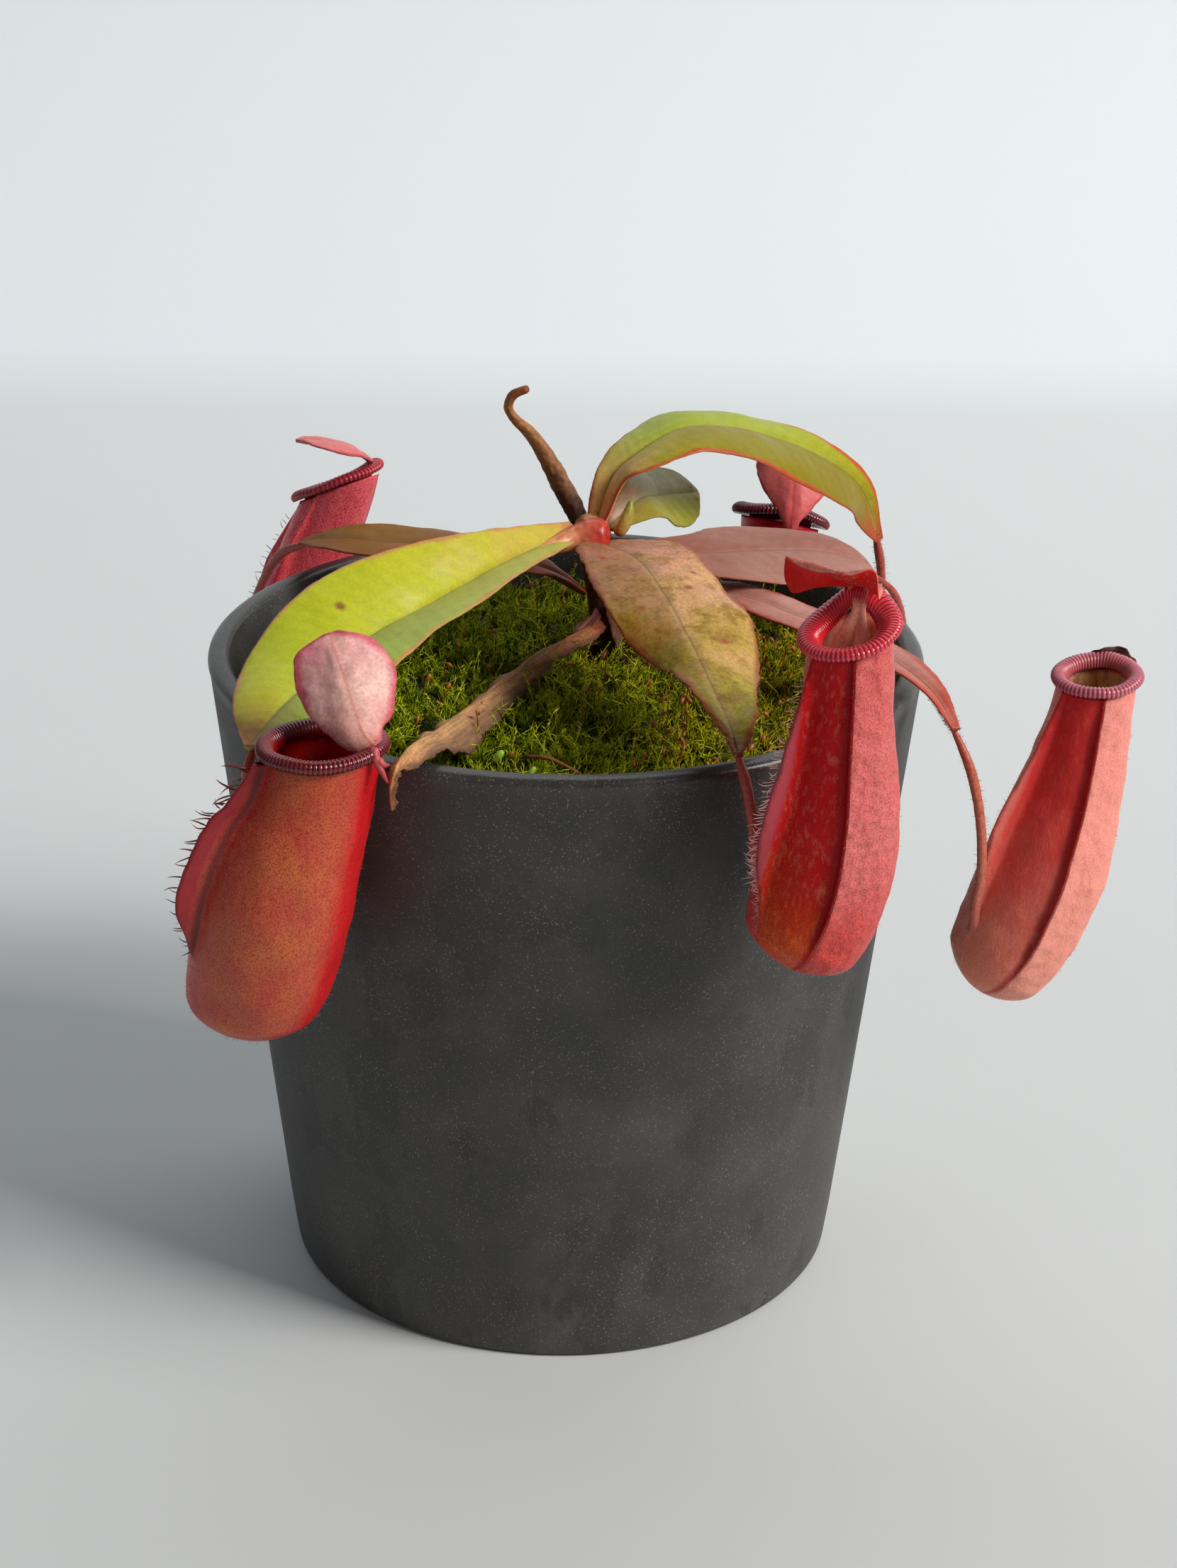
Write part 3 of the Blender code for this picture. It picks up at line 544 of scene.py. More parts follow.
def stalk_tissue(name, colours, roughness=0.45, streak=0.6, bump=0.08, coat=0.0):
    """Plant stalk: thin skin over fibres, coloured along its length, with fine lengthwise streaks."""
    material, tree, shader = new_material(name, Roughness=roughness, IOR=1.42, Coat_Weight=coat)
    place = add(tree, "TexCoord").outputs["Object"]
    along = add(tree, "Attribute", attribute_name="along").outputs["Fac"]
    patch = add(tree, "TexNoise", {"Vector": place, "Scale": grains(streak * 3), "Detail": 4.0}).outputs[0]
    shift = add(tree, "MapRange", {0: patch, 3: -0.22, 4: 0.22}).outputs[0]
    along = add(tree, "Math", {0: along, 1: shift}, operation="ADD").outputs[0]
    tone = add(tree, "ValToRGB", {0: along}, colours).outputs[0]
    fine = add(tree, "TexNoise", {"Vector": place, "Scale": grains(streak), "Detail": 3.0}).outputs[0]
    dark = add(tree, "MapRange", {0: fine, 1: 0.3, 2: 0.7, 3: 0.62, 4: 1.15}).outputs[0]
    dark = add(tree, "CombineColor", {0: dark, 1: dark, 2: dark}).outputs[0]
    tone = add(tree, "Mix", {0: 0.8, 6: tone, 7: dark}, data_type="RGBA", blend_type="MULTIPLY").outputs[2]
    tree.links.new(tone, shader.inputs["Base Color"])
    lumps = add(tree, "Bump", {"Height": fine, "Strength": 0.6, "Distance": bump * MM})
    tree.links.new(lumps.outputs[0], shader.inputs["Normal"])
    return material


def capsule_stalk(height, droop, capsule):
    """One stalk from the ground up, in mm, with its capsule hanging over by droop."""
    top = Vector((droop, 0, height))
    route = [
        (0, 0, 0), (0.25, 0.1, height * 0.45), (0.15, 0, height * 0.9), (droop * 0.4, 0, height * 1.02), top,
    ]
    bm = tube(route, [0.13, 0.11, 0.1, 0.1, 0.12], around=5, steps=12, facing=(0, 1, 0))
    way = Vector((0.6, 0, -0.75 if droop > 0.5 else 0.8)).normalized()
    centre = (top + way * capsule * 0.5) * MM
    turn = way.to_track_quat("Z", "Y").to_matrix().to_4x4()
    shape = Matrix.Translation(centre) @ turn @ Matrix.Diagonal((0.27, 0.27, 0.55, 1))
    bmesh.ops.create_uvsphere(bm, u_segments=8, v_segments=6, radius=capsule * MM, matrix=shape)
    mesh = stored("template", bm)
    up = np.array([v.co.z for v in mesh.vertices]) / (height * MM)
    return mesh, np.clip(up, 0, 1.3)


def spore_tissue(name, foot, head):
    """Spore stalk and capsule: wiry, satin, from the stalk's colour to the capsule's."""
    material, tree, shader = new_material(name, Roughness=0.38, IOR=1.45)
    tip = add(tree, "Attribute", attribute_name="tip").outputs["Fac"]
    tone = add(tree, "ValToRGB", {0: tip}, [(0.1, foot[0]), (0.8, foot[1]), (0.97, head)]).outputs[0]
    tree.links.new(tone, shader.inputs["Base Color"])
    return material


def make_spore_stalks():
    brown = [
        capsule_stalk(height=8.5, droop=0.9, capsule=1.5),
        capsule_stalk(height=6.8, droop=0.2, capsule=1.3),
        capsule_stalk(height=7.6, droop=1.2, capsule=1.4),
    ]
    # Ripe stalks stand thickest on the right and none stand far left or far back.
    places = []
    for _ in range(CAPSULES):
        x, y = moss_spot()
        while x < -25 or (x < 5 and rng.random() < 0.6) or y > 42:
            x, y = moss_spot()
        number = rng.randrange(len(brown))
        places.append((number, stand(x, y, -1.2, rng.uniform(0.7, 1.05), 0.3), rng.random()))
    brown_tissue = spore_tissue("spore_stalk_ripe", ("#4A2412", "#7A3A1C"), "#B0622E")
    scatter("spore_stalks_brown", brown, places, brown_tissue, slot="moss")
    green = [
        capsule_stalk(height=6.5, droop=0.8, capsule=2.6),
        capsule_stalk(height=6.0, droop=0.3, capsule=1.8),
    ]
    places = []
    for number, x, y, turn in FRESH_STALKS:
        foot = Vector((x, y, moss_height(x, y) - 1.0)) * MM
        places.append((number, Matrix.Translation(foot) @ Matrix.Rotation(turn, 4, "Z"), 0.5))
    green_tissue = spore_tissue("spore_stalk_fresh", ("#5A6B1C", "#8FA83A"), "#A6D03C")
    scatter("spore_stalks_green", green, places, green_tissue, slot="moss")
    browns = [(0.0, "#6B3A1C"), (0.5, "#B06A35"), (1.0, "#8A5128")]
    dry = stalk_tissue("dry_stem_bit", browns, roughness=0.8, streak=0.5)
    bm = tube(TWIG, [0.35, 0.3, 0.25, 0.2], around=8, steps=30, relief=0.4)
    keep("dry_twig", bm, dry, slot="dead_leaf")


make_spore_stalks()

# ----------------------------------------------------------------------------
# Stem: short, woody brown low down and glossy red at the crown where new leaves start. The dry
# stalk of an old leaf curls up beside it, and withered leaf bases cling round its foot.
# ----------------------------------------------------------------------------
STEM = {
    "route": [
        (8.5, 19, 96.6), (7.0, 19, 106), (5.6, 19, 114), (4.8, 19, 119.5), (4.2, 19, 123.5),
        (4.4, 19.6, 127.0),
    ],
    "radius": [3.0, 2.7, 2.4, 2.7, 3.3, 2.0],
}
DEAD_STALK = {
    "route": [
        (1.5, 22.6, 126.5), (-0.7, 22.2, 130.3), (-3.1, 22, 135), (-6, 21.6, 139.8), (-8.8, 21, 142.8),
        (-10.2, 20.5, 145.2), (-9.4, 20, 147.6), (-6.7, 19.5, 149),
    ],
    "radius": [2.2, 2.4, 2.1, 1.6, 1.2, 1.1, 1.1, 0.9],
}
# The red bulge where the newest leaves join the stem.
CROWN = {
    "route": [
        (-5.8, 8.4, 123.4), (-2.6, 12.0, 123.4), (1.0, 14.8, 123.8), (4.4, 15.8, 124.2), (7.4, 16.2, 124.0),
    ],
    "radius": [0.6, 1.5, 2.2, 2.9, 2.7],
}
GROWING_TIP = {
    "route": [(8.4, 18.6, 123.2), (9.6, 18.9, 125.0), (10.4, 19.3, 127.0), (10.9, 20.0, 129.2)],
    "radius": [1.0, 1.2, 1.0, 0.4],
}


def make_stem():
    colours = [(0.0, "#2E1C14"), (0.45, "#5A2A20"), (0.66, "#8A2A24"), (0.8, "#B84A30"), (1.0, "#D89A58")]
    red = stalk_tissue("stem_bark_and_crown", colours, roughness=0.4, streak=0.9, bump=0.1)
    bm = tube(STEM["route"], STEM["radius"], around=36, steps=110, relief=0.1)
    keep("stem_and_crown", bm, red, ["stem"], "stem")
    colours = [(0.0, "#C8A858"), (0.3, "#DC9060"), (0.6, "#DC7858"), (0.82, "#CC4C3A"), (1.0, "#B01810")]
    club = stalk_tissue("crown_fleshy_red", colours, roughness=0.36, streak=1.0, bump=0.12, coat=0.12)
    bm = tube(CROWN["route"], CROWN["radius"], around=32, steps=90, facing=(0, 0, 1), relief=0.05)
    keep("crown_bulge", bm, club, slot="stem")
    colours = [(0.0, "#2A1612"), (0.2, "#5A3626"), (0.45, "#A06A3A"), (0.8, "#B06E40"), (1.0, "#8A3E22")]
    dry = stalk_tissue("leaf_stalk_dry", colours, roughness=0.6, streak=0.8, bump=0.22)
    # Its foot reaches down into the crown.
    route = [(3.4, 20.4, 122.6), (2.0, 22.0, 125.2)] + DEAD_STALK["route"][1:]
    radii = [1.7, 2.2] + DEAD_STALK["radius"][1:]
    bm = tube(route, radii, around=26, steps=140, facing=(0.3, -1, 0.2), relief=0.14, squash=0.72)
    keep("dry_stalk", bm, dry, ["dead_stalk"], "dead_leaf")
    colours = [(0.0, "#B06A3C"), (0.5, "#B8A04A"), (1.0, "#8A962C")]
    fresh = stalk_tissue("growing_tip_rolled", colours, roughness=0.4, streak=0.7)
    bm = tube(GROWING_TIP["route"], GROWING_TIP["radius"], around=20, steps=50, relief=0.06)
    keep("rolled_new_leaf", bm, fresh, ["growing_tip"], "young_leaf")


make_stem()

# ----------------------------------------------------------------------------
# Leaves: leathery blades that grow from the crown, each with a sunken midrib above, a keel
# beneath, lengthwise veins and a thin coloured margin. Light brings out red in the exposed ones.
# ----------------------------------------------------------------------------
# Lists run from a leaf's base to its tip: the midrib's way, half widths in mm, the way the upper
# side faces, how far the halves fold up and how far they droop towards the margin, in degrees.
LEAVES = {
    "front_left": {
        "midrib": [
            (1.3, 17.1, 124.4), (-10.5, 2.5, 123.5), (-21, -9, 121), (-31, -20.5, 119),
            (-38, -32, 117), (-44, -44, 115.5), (-48, -55, 113.5),
        ],
        "left": [2.0, 6.0, 9.5, 11, 10, 7.5, 0.8],
        "right": [2.0, 6.4, 10.8, 13.0, 12.4, 8.4, 0.8],
        "faces": [(0.25, -0.45, 0.85), (0.15, -0.3, 0.95), (0.1, -0.1, 1), (0, 0, 1)],
        "fold": [20, 36, 39, 35, 26, 17, 8],
        "droop": [0, 10, 20, 25, 30, 30, 10],
    },
    "front_right": {
        "midrib": [
            (6.2, 15.9, 122.6), (12, -2, 125.5), (16, -18, 125), (19.5, -31, 122.5),
            (22.5, -43, 119.5), (25, -53.5, 117), (26, -59, 114.8),
        ],
        "left": [3.4, 8.6, 10.1, 11.1, 12.0, 12.5, 12.0, 10.2, 7.6, 5.5, 4.0, 2.4, 0.7],
        "right": [3.2, 8.0, 9.7, 10.5, 10.7, 9.8, 7.4, 5.0, 3.9, 2.9, 1.7, 1.1, 0.7],
        "faces": [(0.1, -0.2, 1), (0.05, -0.1, 1), (0, 0, 1), (0, -0.1, 1)],
        "fold": [10, 8, 5, 0, 0, 8, 10],
        "droop": [0, 10, 20, 30, 20, 0, 0],
        "ripple": 1.2,
        "waves": 3,
    },
    "low_right": {
        "midrib": [
            (8.6, 17.9, 111.6), (19, 14, 114.8), (29, 8, 116.2), (38, 0, 115.6),
            (46, -8, 115), (54, -18, 113.8), (59, -25, 111.6), (62.5, -30, 107.3),
        ],
        "left": [1.2, 3, 4.2, 4.5, 4.2, 3.6, 2.4, 0.8],
        "right": [1.2, 3, 4.2, 4.5, 4.2, 3.6, 2.4, 0.8],
        "faces": [(0.1, -0.2, 1), (0.2, -0.3, 1), (0.3, -0.3, 1)],
        "fold": [15, 10, 8, 8, 12, 15, 20, 20],
        "droop": [0, 10, 10, 10, 10, 10, 0, 0],
    },
    "arching_right": {
        "midrib": [
            (4.8, 18.8, 124.8), (7.8, 21.3, 133.0), (12.6, 23, 137), (19.5, 26.5, 140), (28, 31, 139),
            (37, 36, 135.4), (45.5, 40, 130.6), (52.5, 43, 124.3), (56.5, 45, 114),
        ],
        "left": [1.8, 3.0, 5.0, 7.2, 8.8, 8.4, 6.8, 5.0, 3.7, 2.3, 0.8],
        "right": [2.8, 4.8, 7.2, 8.2, 8.6, 9.2, 9.8, 10.0, 9.2, 6.4, 0.9],
        "faces": [(-0.4, -0.6, 0.6), (-0.4, -0.3, 0.85), (0, -0.25, 1), (0.35, -0.5, 0.8), (0.5, -0.8, 0.4)],
        "fold": [30, 28, 22, 14, 12, 12, 16, 16, 10],
        "droop": [0, 15, 35, 40, 40, 35, 20, 0, 0],
    },
    "back_right": {
        "midrib": [
            (7.9, 19.6, 120.6), (17, 17, 121), (24.5, 16.8, 120.7), (32, 19.5, 120.2),
            (38.5, 22, 119.5), (45, 24.5, 118.4), (51, 26, 116.4), (54.5, 27, 113.6),
        ],
        "left": [1.2, 5, 8.5, 10, 9.5, 7.5, 4, 0.8],
        "right": [1.2, 5.5, 9.5, 11.5, 11, 9, 5, 0.8],
        "faces": [(0.1, -0.1, 1), (0.2, -0.1, 1), (0.4, -0.1, 1)],
        "fold": [12, 8, 5, 5, 8, 10],
        "droop": [0, 8, 12, 12, 8, 0],
    },
    "young": {
        "midrib": [
            (6.8, 21.0, 123.8), (12.5, 27.0, 126.9), (16.1, 31.5, 126.3), (19.7, 35.2, 125.6),
            (23.2, 38.4, 124.9),
        ],
        "left": [1.2, 2.6, 4.0, 5.2, 5.8, 5.9, 5.4, 3.9, 0.5],
        "right": [1.4, 3.4, 5.2, 6.4, 7.0, 6.9, 6.1, 4.4, 0.5],
        "faces": [(-0.1, -0.75, 0.6)],
        "fold": [14, 10, 6, 4, 4],
        "droop": [0, 4, 8, 8, 0],
    },
    "back_left": {
        "midrib": [
            (3.2, 16.9, 113.4), (-2.8, 16.2, 117.3), (-9.3, 18, 118.8), (-18.5, 22, 119.3),
            (-30, 27, 118.6), (-40, 33, 117.3), (-47.7, 40, 114.4),
        ],
        "left": [1.2, 3.6, 5.4, 7.2, 7.4, 5.6, 0.8],
        "right": [1.2, 3.6, 5.4, 7.2, 7.4, 5.6, 0.8],
        "faces": [(0, 0, 1), (-0.1, 0, 1), (-0.3, 0, 1)],
        "fold": [12, 10, 8, 8, 10, 10],
        "droop": [0, 10, 15, 15, 10, 0],
    },
}


def blade_skin(shape, rows=96, half=26, thick=0.36, keel=0.5, rough=0.12, ragged=0.15, seed=0.0):
    """A thin closed blade folded along its midrib, with a groove above it and a keel beneath."""
    sides = np.linspace(-1, 1, 2 * half + 1)
    sides = np.sign(sides) * np.abs(sides) ** 1.15
    length = run_length(shape["midrib"], 30)

    def ring(v):
        point, _, up, right = frame_at(shape["midrib"], v, smooth(shape["faces"], v))
        fold, droop = float(smooth(shape["fold"], v)), float(smooth(shape["droop"], v))
        tops, unders, across, edge = [], [], [], []
        for side in sides:
            reach = max(float(smooth(shape["right" if side > 0 else "left"], v)), 0.3)
            torn = ragged * noise.noise(Vector((v * length / 3, side * 4 + seed, seed)))
            torn += ragged * 0.5 * noise.noise(Vector((v * length / 0.9, side * 9, seed + 5)))
            width = abs(side) * (reach + torn * side**2 * min(reach, 1.0))
            lift = math.radians(fold - droop * abs(side) / 2)
            phase = math.tau * shape.get("waves", 0) * v + (1.3 if side > 0 else 0)
            wave = shape.get("ripple", 0) * side**2 * math.sin(phase) * math.sin(math.pi * v)
            way = math.copysign(1.0, side)
            middle = point + right * width * math.cos(lift) * way + up * (width * math.sin(lift) + wave)
            normal = up * math.cos(lift) - right * math.sin(lift) * way
            lump = noise.noise(Vector(middle) / 5.5) * 2.2 + noise.noise(Vector(middle) / 1.6) * 0.5
            lump *= rough * min(width / 1.5, 1)
            body = thick * (1 - 0.72 * side**4) * min(reach / 2.5, 1) + 0.03
            near = math.exp(-((width / 0.75) ** 2))
            tops.append(middle + normal * (body - 0.24 * near * min(reach / 3, 1) + lump))
            unders.append(middle - normal * (body + keel * near - lump))
            across.append(width * way)
            edge.append(reach - width)
        points = tops + unders[::-1] + tops[:1]
        across = across + across[::-1] + across[:1]
        edge = edge + edge[::-1] + edge[:1]
        upper = [1.0] * len(tops) + [0.0] * len(unders) + [1.0]
        run = [v * length] * len(points)
        marks = {"across": across, "edge": edge, "upper": upper, "run": run, "along": [v] * len(points)}
        return points, marks

    return skin(4 * half + 2, rows, ring)


def leaf_tissue(name, left, right, under, margin, rib, **looks):
    """Living blade: leathery, satin, coloured in two halves along its length, darker or redder margin.

    The ramps run from the leaf's base to its tip. Veins and fine grain break up the surface.
    """
    material, tree, shader = new_material(name, IOR=1.46, Specular_IOR_Level=looks.get("shine", 0.34))
    place = add(tree, "TexCoord").outputs["Object"]
    marks = {}
    for mark_name in ("along", "across", "edge", "upper", "run"):
        marks[mark_name] = add(tree, "Attribute", attribute_name=mark_name).outputs["Fac"]
    patch = add(tree, "TexNoise", {"Vector": place, "Scale": grains(8), "Detail": 4.0}).outputs[0]
    fine = add(tree, "TexNoise", {"Vector": place, "Scale": grains(0.55), "Detail": 3.0}).outputs[0]
    drift = looks.get("drift", 0.3)
    shift = add(tree, "MapRange", {0: patch, 1: 0.3, 2: 0.7, 3: -drift / 2, 4: drift / 2}).outputs[0]
    along = add(tree, "Math", {0: marks["along"], 1: shift}, operation="ADD").outputs[0]
    halves = [add(tree, "ValToRGB", {0: along}, stops).outputs[0] for stops in (left, right)]
    side = add(tree, "MapRange", {0: marks["across"], 1: -0.3, 2: 0.3, 3: 0.0, 4: 1.0}).outputs[0]
    tone = add(tree, "Mix", {0: side, 6: halves[0], 7: halves[1]}, data_type="RGBA").outputs[2]
    far = add(tree, "Math", {0: marks["across"]}, operation="ABSOLUTE").outputs[0]
    colour, wide, strength = rib
    band = add(tree, "MapRange", {0: far, 1: wide * 0.25, 2: wide, 3: strength, 4: 0.0}).outputs[0]
    tone = add(tree, "Mix", {0: band, 6: tone, 7: colour}, data_type="RGBA").outputs[2]
    groove = add(tree, "MapRange", {0: far, 1: 0.05, 2: 0.32, 3: 0.55, 4: 0.0}).outputs[0]
    colour = looks.get("groove", "#6B4A20")
    tone = add(tree, "Mix", {0: groove, 6: tone, 7: colour}, data_type="RGBA").outputs[2]
    colour, wide = margin
    wobble = add(tree, "MapRange", {0: patch, 1: 0.35, 2: 0.65, 3: -wide * 0.7, 4: wide * 0.7}).outputs[0]
    near = add(tree, "Math", {0: marks["edge"], 1: wobble}, operation="ADD").outputs[0]
    near = add(tree, "MapRange", {0: near, 1: wide * 0.3, 2: wide * 1.4, 3: 0.9, 4: 0.0}).outputs[0]
    tone = add(tree, "Mix", {0: near, 6: tone, 7: colour}, data_type="RGBA").outputs[2]
    colour, low, most = looks.get("rust", ("#7A4A1C", 0.5, 0.0))
    rust = add(
        tree, "TexNoise", {"Vector": place, "Scale": grains(4), "Detail": 8.0, "Roughness": 0.7}
    ).outputs[0]
    rust = add(tree, "MapRange", {0: rust, 1: low, 2: low + 0.1, 3: 0.0, 4: most}).outputs[0]
    tone = add(tree, "Mix", {0: rust, 6: tone, 7: colour}, data_type="RGBA").outputs[2]
    for run, across, size, colour in looks.get("spots", ()):
        here = add(tree, "CombineXYZ", {0: marks["run"], 1: marks["across"]}).outputs[0]
        gone = add(tree, "VectorMath", {0: here, 1: (run, across, 0)}, operation="DISTANCE").outputs["Value"]
        gone = add(tree, "Math", {0: gone, 1: fine}, operation="SUBTRACT").outputs[0]
        gone = add(
            tree, "MapRange", {0: gone, 1: size * 0.4 - 0.5, 2: size - 0.4, 3: 0.85, 4: 0.0}
        ).outputs[0]
        tone = add(tree, "Mix", {0: gone, 6: tone, 7: colour}, data_type="RGBA").outputs[2]
    tone = add(tree, "Mix", {0: marks["upper"], 6: under, 7: tone}, data_type="RGBA").outputs[2]
    slant = add(tree, "MapRange", {0: far, 1: 0.0, 2: 10.0, 3: 0.0, 4: -6.0}).outputs[0]
    slant = add(tree, "Math", {0: marks["run"], 1: slant}, operation="ADD").outputs[0]
    vein = add(tree, "Math", {0: slant, 1: 2.1}, operation="MULTIPLY").outputs[0]
    bent = add(tree, "Math", {0: patch, 1: 9.0}, operation="MULTIPLY").outputs[0]
    vein = add(tree, "Math", {0: vein, 1: bent}, operation="ADD").outputs[0]
    vein = add(tree, "Math", {0: vein}, operation="SINE").outputs[0]
    long_vein = add(tree, "Math", {0: marks["across"], 1: 2.6}, operation="MULTIPLY").outputs[0]
    long_vein = add(tree, "Math", {0: long_vein}, operation="COSINE").outputs[0]
    net = add(tree, "Mix", {0: 0.35, 2: vein, 3: long_vein}).outputs[0]
    least = 1 - looks.get("grain", 0.12)
    dark = add(tree, "MapRange", {0: fine, 1: 0.3, 2: 0.7, 3: least, 4: 1.05}).outputs[0]
    line = add(tree, "MapRange", {0: net, 1: -1.0, 2: 1.0, 3: 0.95, 4: 1.04}).outputs[0]
    dark = add(tree, "Math", {0: dark, 1: line}, operation="MULTIPLY").outputs[0]
    dark = add(tree, "CombineColor", {0: dark, 1: dark, 2: dark}).outputs[0]
    tone = add(tree, "Mix", {0: 1.0, 6: tone, 7: dark}, data_type="RGBA", blend_type="MULTIPLY").outputs[2]
    tree.links.new(tone, shader.inputs["Base Color"])
    height = add(tree, "Mix", {0: 0.35, 2: fine, 3: net}).outputs[0]
    lumps = add(tree, "Bump", {"Height": height, "Strength": 0.5, "Distance": looks.get("bump", 0.09) * MM})
    tree.links.new(lumps.outputs[0], shader.inputs["Normal"])
    gloss = looks.get("gloss", 0.4)
    sheen = add(tree, "MapRange", {0: patch, 1: 0.35, 2: 0.65, 3: gloss - 0.05, 4: gloss + 0.12}).outputs[0]
    tree.links.new(sheen, shader.inputs["Roughness"])
    shader.inputs["Sheen Weight"].default_value = looks.get("fuzz", 0.05)
    return material


def make_leaves():
    lime = leaf_tissue(
        "leaf_front_left_green",
        # The near (left) half is greyer than the far half: painted sheen over a slight real difference in
        # tone.
        left=[(0.0, "#C87850"), (0.08, "#B8B44C"), (0.45, "#A6B048"), (0.75, "#90AC28"), (1.0, "#A8802E")],
        right=[
            (0.0, "#CC8450"), (0.06, "#C8B040"), (0.3, "#C0BE10"), (0.7, "#A8B204"), (0.92, "#B09C10"),
            (1.0, "#B06030"),
        ],
        under="#B8A060", margin=("#C98A4E", 0.55), rib=("#9A8A3C", 0.9, 0.35),
        groove="#6E6A24", gloss=0.46, drift=0.14,
        spots=[(46.0, 7.0, 1.1, "#7A3A10"), (61.0, -4.0, 0.6, "#8A5A1C")],
    )
    bm = blade_skin(LEAVES["front_left"], rows=128, half=30, seed=1.0)
    keep("blade_front_left", bm, lime, ["leaf_front_left"], "green_leaf")
    bronze = leaf_tissue(
        "leaf_front_right_bronze",
        left=[(0.0, "#DC987C"), (0.3, "#E0A870"), (0.52, "#BE9A3C"), (0.8, "#A4961C"), (1.0, "#C09A80")],
        right=[(0.0, "#B87454"), (0.3, "#AC7A44"), (0.52, "#98781C"), (0.8, "#928A10"), (1.0, "#C09A80")],
        under="#B06A4A", margin=("#9A4A1C", 0.7), rib=("#C09A60", 1.7, 0.4),
        groove="#6A5026", gloss=0.42, fuzz=0.0, grain=0.36, drift=0.3, shine=0.2,
        rust=("#84461A", 0.5, 0.48),
        spots=[
            (12.0, 6.0, 0.9, "#B04A34"), (24.0, -4.5, 1.0, "#A83A28"), (30.0, 5.2, 0.8, "#9A4A2A"),
            (40.0, -5.5, 0.8, "#B04030"), (19.0, -7.0, 0.7, "#A84A34"), (52.0, 3.5, 0.8, "#9A3A24"),
        ],
    )
    bm = blade_skin(LEAVES["front_right"], rows=128, half=30, rough=0.2, ragged=0.4, seed=2.0)
    keep("blade_front_right", bm, bronze, ["leaf_front_right"], "bronze_leaf")
    pink = leaf_tissue(
        "leaf_low_right_pink",
        left=[(0.0, "#B8685A"), (0.4, "#C88A7C"), (0.8, "#C87A6A"), (1.0, "#B84A3A")],
        right=[(0.0, "#B8685A"), (0.4, "#C08272"), (0.8, "#BE6A58"), (1.0, "#B84A3A")],
        under="#B8442E", margin=("#B8422C", 0.7), rib=("#D8A090", 0.8, 0.4),
        groove="#A0503E", gloss=0.4, fuzz=0.05,
    )
    bm = blade_skin(LEAVES["low_right"], rows=110, half=18, seed=3.0)
    keep("blade_low_right", bm, pink, ["leaf_low_right"], "bronze_leaf")
    arch = leaf_tissue(
        "leaf_arching_green",
        left=[
            (0.0, "#F0B070"), (0.1, "#E8C070"), (0.2, "#C4BC54"), (0.36, "#A0AE34"), (0.7, "#A4A820"),
            (0.93, "#A89618"), (1.0, "#B84A2A"),
        ],
        right=[
            (0.0, "#E88A58"), (0.12, "#E8AC68"), (0.26, "#AC9C2C"), (0.4, "#8E8204"), (0.7, "#8A7C02"),
            (0.93, "#887202"), (1.0, "#B84A2A"),
        ],
        under="#E0A080", margin=("#C2482A", 0.6), rib=("#A8A848", 0.9, 0.35),
        groove="#7C7A28", gloss=0.36, drift=0.08, shine=0.2,
    )
    bm = blade_skin(LEAVES["arching_right"], rows=128, half=28, seed=4.0)
    keep("blade_arching", bm, arch, ["leaf_arching_right"], "green_leaf")
    mauve = leaf_tissue(
        "leaf_back_right_mauve",
        left=[(0.0, "#A0503C"), (0.4, "#A87262"), (1.0, "#A05E50")],
        right=[(0.0, "#A0503C"), (0.4, "#AC7866"), (1.0, "#A86658")],
        under="#A05A4A", margin=("#B06A5A", 0.6), rib=("#B88A7A", 0.9, 0.3),
        groove="#80504A", gloss=0.42, fuzz=0.05,
    )
    bm = blade_skin(LEAVES["back_right"], rows=100, half=26, seed=5.0)
    keep("blade_back_right", bm, mauve, ["leaf_back_right"], "bronze_leaf")
    young = leaf_tissue(
        "leaf_young_olive",
        left=[(0.0, "#B8806A"), (0.3, "#A8AC88"), (1.0, "#A4A870")],
        right=[(0.0, "#A88A40"), (0.3, "#969418"), (0.8, "#909410"), (1.0, "#98941A")],
        under="#8A9A4A", margin=("#9A8A2A", 0.4), rib=("#8A8A3A", 0.7, 0.3),
        groove="#6E6A24", gloss=0.4,
    )
    bm = blade_skin(LEAVES["young"], rows=80, half=22, seed=6.0)
    keep("blade_young", bm, young, ["leaf_young"], "young_leaf")
    brown = leaf_tissue(
        "leaf_back_left_brown",
        left=[(0.0, "#A8442E"), (0.3, "#94501E"), (0.6, "#8E5A1C"), (1.0, "#8A5A1E")],
        right=[(0.0, "#A8442E"), (0.3, "#94501E"), (0.6, "#96661E"), (1.0, "#90601A")],
        under="#8A4A1E", margin=("#9A5A34", 0.6), rib=("#9A6A3A", 0.8, 0.3),
        groove="#5A3416", gloss=0.46, fuzz=0.0, shine=0.15,
    )
    bm = blade_skin(LEAVES["back_left"], rows=100, half=22, seed=7.0)
    keep("blade_back_left", bm, brown, ["leaf_back_left"], "bronze_leaf")


make_leaves()

